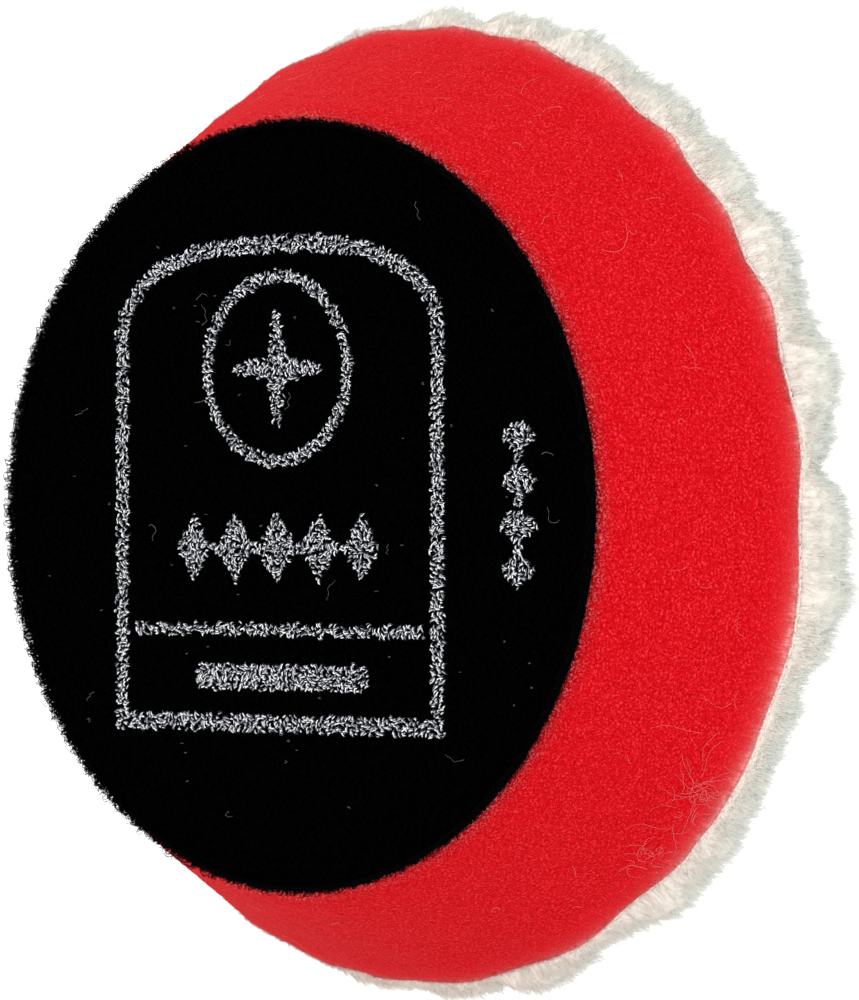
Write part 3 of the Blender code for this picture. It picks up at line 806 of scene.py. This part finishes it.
def edge_loops(name, n, reach, s, thin, stout, width=(0.22, 0.70), across=1.57):
    """Loops at the cut edge: both feet in the mat, the bight outwards and forwards."""
    th = rng.uniform(0, 2 * np.pi, n)
    y0 = rng.uniform(0.05, 0.95, n)
    tall = rng.gamma(20.0, reach / 20.0, n).clip(0.2, 1.3)
    span = rng.uniform(*width, n)
    tilt = rng.uniform(0.50, 1.30, n)               # 0 straight out, pi/2 straight forwards
    turn = np.pi / 2 + rng.uniform(-across, across, n)
    w = np.linspace(0, 1, s)[None, :]
    rise = np.sin(np.pi * w) ** 0.75 * tall[:, None]
    along_ = (w - 0.5) * span[:, None] + 0.20 * np.sin(2 * np.pi * w) * rng.normal(0, 1.0, n)[:, None]
    r = (LOOP_R / MM - 0.16) - cut_short(th)[:, None] / MM + rise * np.cos(tilt)[:, None]
    y = y0[:, None] - rise * np.sin(tilt)[:, None] + along_ * np.cos(turn)[:, None] * 0.6
    y = np.maximum(y, -0.95)
    a = th[:, None] + along_ * np.sin(turn)[:, None] / 37.0
    p = np.stack([r * np.cos(a), y, r * np.sin(a)], -1) * MM
    rad = rng.uniform(thin, stout, n)[:, None] * MM * np.ones((1, s))
    co, faces, _ = tubes(p, rad)
    return mesh_object(name, co, faces, loop_edge_mat, "backing")


edge_loops("loop_pile_edge_1", 4300, 0.50, 7, 0.028, 0.042)
edge_loops("loop_pile_edge_2", 4100, 0.84, 8, 0.029, 0.042, (0.35, 0.85), 0.70)
edge_loops("loop_pile_edge_long", 2400, 1.06, 9, 0.028, 0.041, (0.40, 0.95), 0.70)


# ----------------------------------------------------------------- wool pile
# Outer envelope of the tips: flat work face, rounded shoulder, tucked under.
FLAT_R, MID_Y = 39.2 * MM, 22.3 * MM
BULGE_R, BULGE_Y = 9.2 * MM, WOOL_TOP - 0.35 * MM - MID_Y
FOOT_R, FOOT_Y = 47.27 * MM, WCLOTH_HI + 0.03 * MM


def env_profile(shrink):
    a, b = BULGE_R - shrink, BULGE_Y - shrink
    pts = [(0.0, MID_Y + b), (20 * MM, MID_Y + b), (FLAT_R - 2 * MM, MID_Y + b)]
    for k in range(0, 29):
        t = math.radians(90 - 90 * k / 28)
        pts.append((FLAT_R + a * math.cos(t), MID_Y + b * math.sin(t)))
    foot_r = FOOT_R + 0.20 * MM - shrink * 0.05
    for k in range(1, 9):
        t = k / 8 * math.pi / 2
        pts.append((FLAT_R + a - (FLAT_R + a - foot_r) * (1 - math.cos(t)),
                    MID_Y - (MID_Y - FOOT_Y) * math.sin(t)))
    return along(pts)


env = env_profile(0.0)
mass = env_profile(0.95 * MM)


def wool_point(profile, share, th):
    """A point of the wool at a share of its profile, with the lobes of the rim."""
    r, y = profile(share)
    edge = np.clip((r - 34 * MM) / (9 * MM), 0, 1)
    edge = edge * edge * (3 - 2 * edge)
    free = np.clip((y - FOOT_Y) / (1.8 * MM), 0, 1)
    k = lobe_full(th) - 1.0
    dr = edge * free * k * np.maximum(r - FLAT_R + 1.5 * MM, 0) * np.where(k < 0, 0.70, 1.0)
    dr = dr + edge * (1 - free) * rim_wave_mm(th) * MM
    dy = edge * k * np.maximum(y - MID_Y + 0.6 * MM, 0) * np.where(k < 0, 1.15, 1.0)
    return np.stack([(r + dr) * np.cos(th), y + dy, (r + dr) * np.sin(th)], -1)


def surface_axes(share, th):
    """Outward normal of the envelope and its direction towards the work face."""
    e = 0.004
    sh = np.clip(share, 0.01, 0.985)
    t = unit(wool_point(env, sh + e, th) - wool_point(env, sh - e, th))
    round_ = np.stack([-np.sin(th), 0 * th, np.cos(th)], -1)
    return unit(-np.cross(t, round_)), -t, round_


# clump centres: wide ones on the work face, narrow ones round the rim
centres = []
d = 1.0 * MM
while d < env.length - 0.5 * MM:
    rr, _ = env(d / env.length)
    gap = (2.3 if d < 36 * MM else 1.35) * MM
    n = max(5, int(2 * math.pi * rr / gap))
    a = np.arange(n) * 2 * np.pi / n + rng.uniform(0, 6.28) + rng.normal(0, 0.22 * 2 * np.pi / n, n)
    sh = np.full(n, d / env.length) + rng.normal(0, 0.22 * gap / env.length, n)
    centres.append(np.stack([sh, a], -1))
    d += gap * 0.87
centres = np.concatenate(centres)
clump_tip = wool_point(env, centres[:, 0], centres[:, 1])
clump_len = rng.normal(0.0, 0.24, len(centres)).clip(-0.5, 0.6) * MM
clump_lean = rng.normal(0, 0.22, len(centres))
clump_tone = rng.normal(0, 0.34, len(centres)) + 0.9 * smooth_noise(clump_tip, 7.0 * MM, 31)
tree = kdtree.KDTree(len(clump_tip))
for k, c in enumerate(clump_tip):
    tree.insert(Vector(c), k)
tree.balance()


def nearest(points):
    found = np.empty(len(points), int)
    dist = np.empty(len(points))
    for k, c in enumerate(points):
        _, found[k], dist[k] = tree.find(c)
    return found, dist


share, phi, quads, border = disc_grid(290)
P = wool_point(mass, share, phi)
near, dist = nearest(wool_point(env, share, phi))
nrm, _, _ = surface_axes(share, phi)
rad_ = np.hypot(P[:, 0], P[:, 2])
rim_part = np.clip((rad_ - 36 * MM) / (5 * MM), 0, 1)
free = np.clip((1 - share) * env.length / (1.1 * MM), 0, 1)
flow = np.stack([48 * MM * np.cos(phi), share * env.length * 0.25, 48 * MM * np.sin(phi)], -1)
ridges = smooth_noise(flow, 1.5 * MM, 22, 2) * 0.15 * MM
domes = 0.42 * MM * (1 - np.clip(dist / (1.25 * MM), 0, 1.3) ** 2)
fine = smooth_noise(P, 0.8 * MM, 21) * 0.10 * MM + rng.normal(0, 0.025 * MM, len(P))
to_foot = (1 - share) * env.length / MM
full = 0.50 * MM * np.exp(-(to_foot / 4.0) ** 2)        # the pile is densest by the cloth
P = P + nrm * ((rim_part * ridges + (1 - rim_part) * domes + fine + full) * free)[:, None]
centre = len(P)
P = np.vstack([P, [[0, WCLOTH_HI + 0.02 * MM, 0]]])
P[border, 1] = WCLOTH_HI + 0.02 * MM
fan = np.stack([np.full(len(border), centre), border, np.roll(border, -1)], -1)
first = quads[np.any(quads == border[0], axis=1) & np.any(quads == border[1], axis=1)][0]
pos = {int(v): k for k, v in enumerate(first)}
if (pos[int(border[0])] + 1) % 4 == pos[int(border[1])]:
    fan = fan[:, ::-1]
under = mesh_object("wool_under_pile", P, [quads, fan], under_mat, "wool_face", closed=True)
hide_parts("wool_pile")


def wool_fibres(name, share, th, s, thick, gather=(0.40, 0.90), back=(1.8, 5.6), proud=0.0, wild=0.22,
                pale=0.0):
    """Tapered fibres that leave the under-pile, run up it and end in clumped tips.

    back is how far down the surface a fibre starts from its tip, in mm; proud
    lifts the tips, wild is how unevenly they end.
    """
    n = len(share)
    tip0 = wool_point(env, share, th)
    near, _ = nearest(tip0)
    g = (rng.uniform(*gather, n) * (0.77 + 0.23 * np.sin(th - 0.09)))[:, None]
    nr, up, round_ = surface_axes(share, th)
    lean = clump_lean[near][:, None]
    tip = tip0 * (1 - g) + clump_tip[near] * g
    tip = tip + nr * (clump_len[near] + proud * MM + rng.normal(0, wild, n) * MM)[:, None]
    tip = tip + round_ * lean * 0.45 * MM
    r0 = np.hypot(tip0[:, 0], tip0[:, 2])
    rim_ = np.clip((r0 - 36 * MM) / (5 * MM), 0, 1)
    away = rng.uniform(*back, n) * MM * (0.30 + 0.70 * rim_)
    # on the flank a fibre comes up from the cloth, on the face from any side
    root_share = np.minimum(share + away * rim_ / env.length, 0.992)
    root_th = th + (rng.normal(0, 0.28, n) * MM - lean[:, 0] * away * 0.5) / np.maximum(r0, 6 * MM)
    root = wool_point(mass, root_share, root_th)
    side = rng.normal(0, 1, (n, 3)) * (away * (1 - rim_) * 0.7)[:, None]
    side[:, 1] = 0
    root = root + side - nr * 0.25 * MM
    reach = np.linalg.norm(tip - root, axis=1)[:, None]
    mid = (root + tip) * 0.5 + nr * reach * rng.normal(0.06, 0.09, n)[:, None] \
        + round_ * reach * rng.normal(0, 0.07, n)[:, None]
    path = bezier(root, mid, tip, s)
    w = np.linspace(0, 1, s)[None, :]
    ph = (near * 2.399 % 6.283)[:, None] + rng.normal(0, 0.6, n)[:, None]
    crimp = np.sin(w * rng.uniform(4, 8, n)[:, None] + ph) * w * rng.uniform(0.02, 0.10, n)[:, None] * MM
    path = path + crimp[..., None] * round_[:, None, :]
    rad = thick * rng.uniform(0.7, 1.3, n)[:, None] * (1 - 0.70 * w ** 1.5) * MM
    # pinker and brighter low down by the foam, as painted red bounce light and painted light against the shade there,
    # less so on the upper half; greyer and paler high up and at the tips
    height = np.clip((tip[:, 1] - WCLOTH_HI) / (8.5 * MM), 0, 1) ** 0.8
    lvl = np.linspace(-0.1, 0.7, s - 1)[None, :] + (2.7 * height + clump_tone[near])[:, None]
    lvl = lvl + (rng.normal(pale * 0.5, 0.34, n) + 0.75 * np.clip(np.sin(th), 0, 1))[:, None]
    shade = np.clip(np.round(lvl), 0, 3).astype(int)
    co, faces, idx = tubes(path, rad, ref=unit(nr + 0.01), shade=shade)
    return mesh_object(name, co, faces, wool_mats, "wool_face", index=idx)


shoulder = 1.0 - 19.0 * MM / env.length
n = 36000
th = np.sort(rng.uniform(0, 2 * np.pi, n))
sh = shoulder + (1 - shoulder) * rng.random(n) ** 0.75 * 0.985 - rng.exponential(0.018, n)
for k, part in enumerate(np.array_split(np.arange(n), 4)):
    wool_fibres(f"wool_rim_{k + 1}", sh[part], th[part], 4, 0.031)

# finer, shorter fluff between and beyond them
n = 66000
th = np.sort(rng.uniform(0, 2 * np.pi, n))
sh = shoulder + (1 - shoulder) * rng.random(n) ** 0.80 * 0.985 - rng.exponential(0.022, n)
for k, part in enumerate(np.array_split(np.arange(n), 5)):
    wool_fibres(f"wool_fluff_{k + 1}", sh[part], th[part], 3, 0.024, gather=(0.25, 0.85), back=(0.9, 2.6),
                proud=0.04, wild=0.30, pale=0.5)

# the lowest fibres: rooted at the cloth's edge, they turn out and up at once
n = 14000
th = rng.uniform(0, 2 * np.pi, n)
up_y = rng.uniform(0.0, 1.0, n)
root = polar(rim_radius(th) - 0.04 * MM, FILM2_HI + (0.16 + 0.34 * up_y) * MM, th)
reach = rng.gamma(4.0, 0.40, n).clip(0.4, 3.6)
sh = 1.0 - reach * MM / env.length
tip = wool_point(env, sh, th + rng.normal(0, 0.35, n) * MM / RIM_R)
nr, up, round_ = surface_axes(sh, th)
tip = tip + nr * (rng.normal(-0.12, 0.20, n) * MM)[:, None]
mid = root * 0.45 + tip * 0.55 + nr * (reach * rng.uniform(0.08, 0.26, n) * MM)[:, None]
path = bezier(root, mid, tip, 3)
w = np.linspace(0, 1, 3)[None, :]
rad = rng.uniform(0.020, 0.034, n)[:, None] * (1 - 0.65 * w ** 1.5) * MM
# painted red bounce light and painted light against the shade at the foot: these fibres take mostly the pinker,
# brighter root copy
tone = rng.normal(-0.35, 0.5, n) + 0.3 * np.clip(np.sin(th), 0, 1)
shade = np.clip(np.round(np.linspace(0.0, 0.8, 2)[None, :] + tone[:, None]), 0, 3).astype(int)
co, faces, idx = tubes(path, rad, ref=unit(nr + 0.01), shade=shade)
mesh_object("wool_foot", co, faces, wool_mats, "wool_face", index=idx)

n = 2600
th = rng.uniform(0, 2 * np.pi, n)
sh = shoulder + (1 - shoulder) * rng.random(n) * 0.97
wool_fibres("wool_flyaway", sh, th, 6, 0.022, gather=(0.0, 0.6), back=(1.5, 3.5), proud=0.22, wild=0.26, pale=0.6)

n = 16500
sh = np.sqrt(rng.random(n)) * (shoulder + 0.02) + rng.exponential(0.020, n).clip(0.0, 0.09)
th = np.sort(rng.uniform(0, 2 * np.pi, n))
for k, part in enumerate(np.array_split(np.arange(n), 2)):
    wool_fibres(f"wool_face_{k + 1}", sh[part], th[part], 4, 0.052, gather=(0.25, 0.8), back=(1.0, 3.6))


# ----------------------------------------------------- fuzz on the red foam
def foam_point(y, th, lift=0.0):
    r = foam_radius(y, th) + lift
    return np.stack([r * np.cos(th), y, r * np.sin(th)], -1)


def short_fuzz(name, y, th, length, mats, pick, thick, lean_y=0.0, spread=0.7):
    n = len(y)
    root = foam_point(y, th, -0.05 * MM)
    out = np.stack([np.cos(th) * 0.89, -0.457 + 0 * th, np.sin(th) * 0.89], -1)
    d = unit(out + rng.normal(0, spread, (n, 3)) + np.array([[0, lean_y, 0]]))
    tip = root + d * length[:, None]
    mid = root + unit(out + 0.4 * d) * length[:, None] * 0.55
    p = bezier(root, mid, tip, 3)
    rad = thick * rng.uniform(0.7, 1.2, n)[:, None] * np.linspace(1, 0.5, 3)[None, :]
    co, faces, idx = tubes(p, rad, shade=np.repeat(pick[:, None], 2, 1))
    ob = mesh_object(name, co, faces, mats, "backing", index=idx)
    soft_pieces.append(ob)
    return ob


n = 12000
th = rng.uniform(0, 2 * np.pi, n)
depth = rng.exponential(0.26 + 0.45 * np.clip(rim_wave_mm(th), 0, 0.5), n).clip(0.0, 2.0)
y = FOAM_HI - depth * MM
short_fuzz("foam_fuzz_rim", y, th, rng.uniform(0.16, 0.58, n) * MM, [foam_nap_mat, foam_fuzz_mat, foam_fuzz_pale],
           np.clip(np.round(rng.normal(1.75, 0.6, n) - 1.9 * depth), 0, 2).astype(int), 0.012 * MM,
           lean_y=-0.75, spread=0.55)
n = 6000
th = rng.uniform(0, 2 * np.pi, n)
y = FOAM_HI - rng.uniform(0.02, 0.16, n) * MM
short_fuzz("foam_fuzz_crest", y, th, rng.uniform(0.14, 0.46, n) * MM, [foam_nap_mat, foam_fuzz_mat, foam_fuzz_pale],
           rng.choice([0, 1, 1, 2, 2, 2], n), 0.012 * MM, lean_y=0.50, spread=0.45)
n = 4500
th = rng.uniform(0, 2 * np.pi, n)
y = 0.95 * MM + np.abs(rng.normal(0.0, 0.60, n)).clip(0.0, 2.0) * MM
short_fuzz("foam_fuzz_backing", y, th, rng.uniform(0.08, 0.24, n) * MM, [foam_nap_mat, foam_fuzz_mat, foam_fuzz_pale],
           rng.choice([0, 0, 1, 1, 1, 2], n), 0.012 * MM)
n = 11000
th = rng.uniform(0, 2 * np.pi, n)
y = FOAM_HI * (0.07 + 0.90 * rng.random(n))
short_fuzz("foam_nap", y, th, rng.uniform(0.08, 0.22, n) * MM, [foam_red_fibre, foam_nap_mat, foam_fuzz_mat],
           rng.choice([0, 0, 0, 1, 1, 2], n), 0.013 * MM, spread=0.5)


def hairs(name, y, th, length, mat, body, radius=0.022 * MM, wander=0.9, lift=0.05 * MM, on_face=False):
    """Long stray hairs that lie on the surface and curl as they go."""
    n, s = len(y), 26
    head = rng.uniform(0, 2 * np.pi, n)
    rate = rng.normal(0, wander, n)
    a, b = np.array(th, float), np.array(y, float)      # position: angle and y, or x and z
    pts = np.empty((n, s, 3))
    for k in range(s):
        if on_face:
            pts[:, k] = np.stack([a, -(0.35 + 0.15 * np.sin(k * 0.5 + head)) * MM, b], -1)
        else:
            pts[:, k] = foam_point(b, a, lift + 0.10 * MM * np.sin(k * 0.55 + head * 3) ** 2)
        step = length / (s - 1)
        if on_face:
            a = a + np.cos(head) * step
            b = b + np.sin(head) * step
        else:
            a = a + np.cos(head) * step / (42 * MM)
            b = np.clip(b + np.sin(head) * step, 1.2 * MM, FOAM_HI - 0.15 * MM)
        rate = rate * 0.93 + rng.normal(0, 0.16, n)
        head = head + rate * 0.17
    rad = radius * rng.uniform(0.8, 1.2, n)[:, None] * np.linspace(1, 0.6, s)[None, :]
    co, faces, _ = tubes(pts, rad)
    ob = mesh_object(name, co, faces, mat, body)
    return ob


# two tangles low on the right flank and single hairs elsewhere, as they cling:
# angle, height, how many, spread in both, shortest and longest
spots = [(-36.4, 16.2, 38, 2.3, 1.1, 1.2, 4.4), (-46.6, 16.3, 20, 1.9, 0.9, 1.0, 3.4),
         (-29.0, 14.0, 2, 1.5, 1.0, 4.0, 6.0), (-24.0, 15.6, 2, 2.0, 0.5, 2.0, 4.0),
         (-15.7, 14.7, 1, 0, 0, 2.0, 3.0), (20.7, 10.3, 1, 0, 0, 2.0, 3.0), (36.2, 6.6, 1, 0, 0, 5.0, 5.5),
         (40.5, 14.4, 1, 0, 0, 1.6, 2.0), (37.3, 16.1, 1, 0, 0, 1.6, 2.2), (59.2, 13.4, 1, 0, 0, 2.5, 3.5),
         (64.8, 12.4, 1, 0, 0, 3.2, 4.0), (70.8, 7.8, 1, 0, 0, 1.5, 2.2), (2.0, 9.0, 5, 20, 3.0, 0.9, 1.8),
         (50.0, 9.0, 5, 20, 3.0, 0.9, 1.8), (-60.0, 10.0, 4, 14, 3.0, 0.9, 1.8)]
hy, ht, hl = [], [], []
for ang, yc, count, spread_t, spread_y, short, long_ in spots:
    ht += list(np.radians(rng.normal(ang, spread_t, count)))
    hy += list(rng.normal(yc, spread_y, count).clip(3.2, 18.6) * MM)
    hl += list(rng.uniform(short, long_, count) * MM)
for _ in range(34):                      # a few all round the hidden side
    ht.append(rng.uniform(np.radians(100), np.radians(258)))
    hy.append(rng.uniform(3.5, 18.2) * MM)
    hl.append(rng.uniform(1.5, 4.5) * MM)
lint = hairs("foam_lint", np.array(hy), np.array(ht), np.array(hl), lint_mat, "backing", radius=0.0205 * MM)
soft_pieces.append(lint)
face_spots = [(-11.1, 17.7), (-11.7, 20.2), (-9.7, 16.2), (-7.5, 16.2), (-11.1, 10.4), (-0.3, 9.3), (3.8, -5.2),
              (5.1, -6.2), (12.6, -3.7), (31.6, 4.8), (33.4, -1.3), (-25.6, -18.5), (5.1, -9.1), (-28.0, 9.0),
              (22.0, -24.0), (-8.0, -30.0), (16.0, 29.0), (-18.0, -2.0)]
fx = np.array([p[0] for p in face_spots]) * MM
fz = np.array([p[1] for p in face_spots]) * MM
n = len(face_spots)
dust = rng.uniform(-33, 33, (2, 64)) * MM         # and specks of dust
dust = dust[:, np.hypot(*dust) < 35 * MM]
fx, fz = np.concatenate([fx, dust[0]]), np.concatenate([fz, dust[1]])
long_ = np.concatenate([rng.uniform(0.8, 2.6, n), rng.uniform(0.10, 0.35, len(dust[0]))]) * MM
lint2 = hairs("backing_lint", fz, fx, long_, lint_white, "backing", radius=0.017 * MM, on_face=True)

# frayed white ends of the wool's cloth along the rim
n = 14000
th = rng.uniform(0, 2 * np.pi, n)
r0 = rim_radius(th) - 0.02 * MM
root = np.stack([r0 * np.cos(th), FILM2_HI + rng.uniform(-0.02, 0.50, n) * MM, r0 * np.sin(th)], -1)
d = unit(np.stack([np.cos(th), rng.normal(0.05, 0.65, n), np.sin(th)], -1) + rng.normal(0, 0.50, (n, 3)))
L = rng.gamma(3.0, 0.075, n).clip(0.08, 0.65) * MM
tip = root + d * L[:, None]
mid = root + np.stack([np.cos(th), 0 * th, np.sin(th)], -1) * L[:, None] * 0.45
p = bezier(root, mid, tip, 3)
co, faces, _ = tubes(p, rng.uniform(0.015, 0.026, n)[:, None] * MM * np.linspace(1, 0.5, 3)[None, :])
# the fray takes the pinker root copy: painted red bounce light
mesh_object("wool_cloth_fray", co, faces, wool_mats[0], "wool_face")

# cut loop ends that stand off the mat's edge singly, most of them on one side
n = 1300
th = np.where(rng.random(n) < 0.72, rng.uniform(1.78, 3.05, n), rng.uniform(0, 2 * np.pi, n))[:, None]
size, tilt = rng.uniform(0.50, 1.12, n)[:, None], rng.uniform(0.25, 1.10, n)[:, None]
w = np.linspace(0, 1, 4)[None, :]
r = LOOP_R / MM - 0.12 + size * np.cos(tilt) * w
y = np.maximum(rng.uniform(0.05, 0.90, n)[:, None] - size * np.sin(tilt) * w ** 1.2, -0.95)
a = th + size * rng.normal(0, 0.36, n)[:, None] * w ** 1.6 / 37.0
co, faces, _ = tubes(np.stack([r * np.cos(a), y, r * np.sin(a)], -1) * MM,
                     rng.uniform(0.028, 0.040, n)[:, None] * MM * (1 - 0.50 * w))
mesh_object("loop_pile_edge_ends", co, faces, loop_edge_mat, "backing")

# paler cell ends where the flank turns away at each side
n = 1500
side = np.where(rng.random(n) < 0.5, 1.0, -1.0)
y = 0.95 * MM + np.abs(rng.normal(0.0, 0.55, n)).clip(0.0, 1.6) * MM
short_fuzz("foam_fuzz_side", y, side * rng.uniform(1.50, 2.25, n), rng.uniform(0.10, 0.30, n) * MM,
           [foam_fuzz_mat, foam_fuzz_pale], rng.choice([0, 1, 1], n), 0.014 * MM)

# each piece bonded to the foam gets its own copy of its mesh data
for piece in soft_pieces:
    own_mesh(piece)

# ------------------------------------------------------- camera, floor, light
scene.view_settings.view_transform = "Standard"
scene.view_settings.look = "None"
world = bpy.data.worlds.new("studio")
world.use_nodes = True
world.node_tree.nodes["Background"].inputs["Color"].default_value = (1, 1, 1, 1)
world.node_tree.nodes["Background"].inputs["Strength"].default_value = 1.50
scene.world = world

AZ, DIST, PX = math.radians(40.887), 0.600, 6188.4
back = Vector((math.sin(AZ), -math.cos(AZ), 0.0))
right = Vector((math.cos(AZ), math.sin(AZ), 0.0))
target = right * (13.50 * MM) + Vector((0, 0, 1)) * (0.57 * MM)
cam = bpy.data.objects.new("camera", bpy.data.cameras.new("camera"))
scene.collection.objects.link(cam)
cam.location = back * DIST
cam.rotation_mode = "QUATERNION"
cam.rotation_quaternion = (target - cam.location).to_track_quat("-Z", "Y")
cam.data.sensor_width = 36.0
cam.data.lens = PX / 1000.0 * 36.0
cam.data.clip_start = 0.01
cam.data.clip_end = 50.0
scene.camera = cam

floor_mesh = bpy.data.meshes.new("floor")
h = 4.0
floor_mesh.from_pydata([(-h, -h, 0), (h, -h, 0), (h, h, 0), (-h, h, 0)], [], [(0, 1, 2, 3)])
floor = bpy.data.objects.new("floor", floor_mesh)
scene.collection.objects.link(floor)
floor_mat = new_mat("floor_pale", (0.97, 0.97, 0.97), 0.9, spec=0.0)
floor_mesh.materials.append(floor_mat)
floor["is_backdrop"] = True


def area_light(name, place, aim, size, power, colour=(1, 1, 1)):
    data = bpy.data.lights.new(name, "AREA")
    data.energy = power
    data.size = size
    data.color = colour
    ob = bpy.data.objects.new(name, data)
    scene.collection.objects.link(ob)
    ob.location = place
    ob.rotation_mode = "QUATERNION"
    ob.rotation_quaternion = (Vector(aim) - Vector(place)).to_track_quat("-Z", "Y")
    return ob


area_light("key", (0.72, -0.38, -0.14), (0, 0.01, 0), 0.35, 2.3)

bpy.context.view_layer.update()
low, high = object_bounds()
floor.location.z = low[2] - 15.0 * MM       # the pad hangs just above it, clear of its own shadow
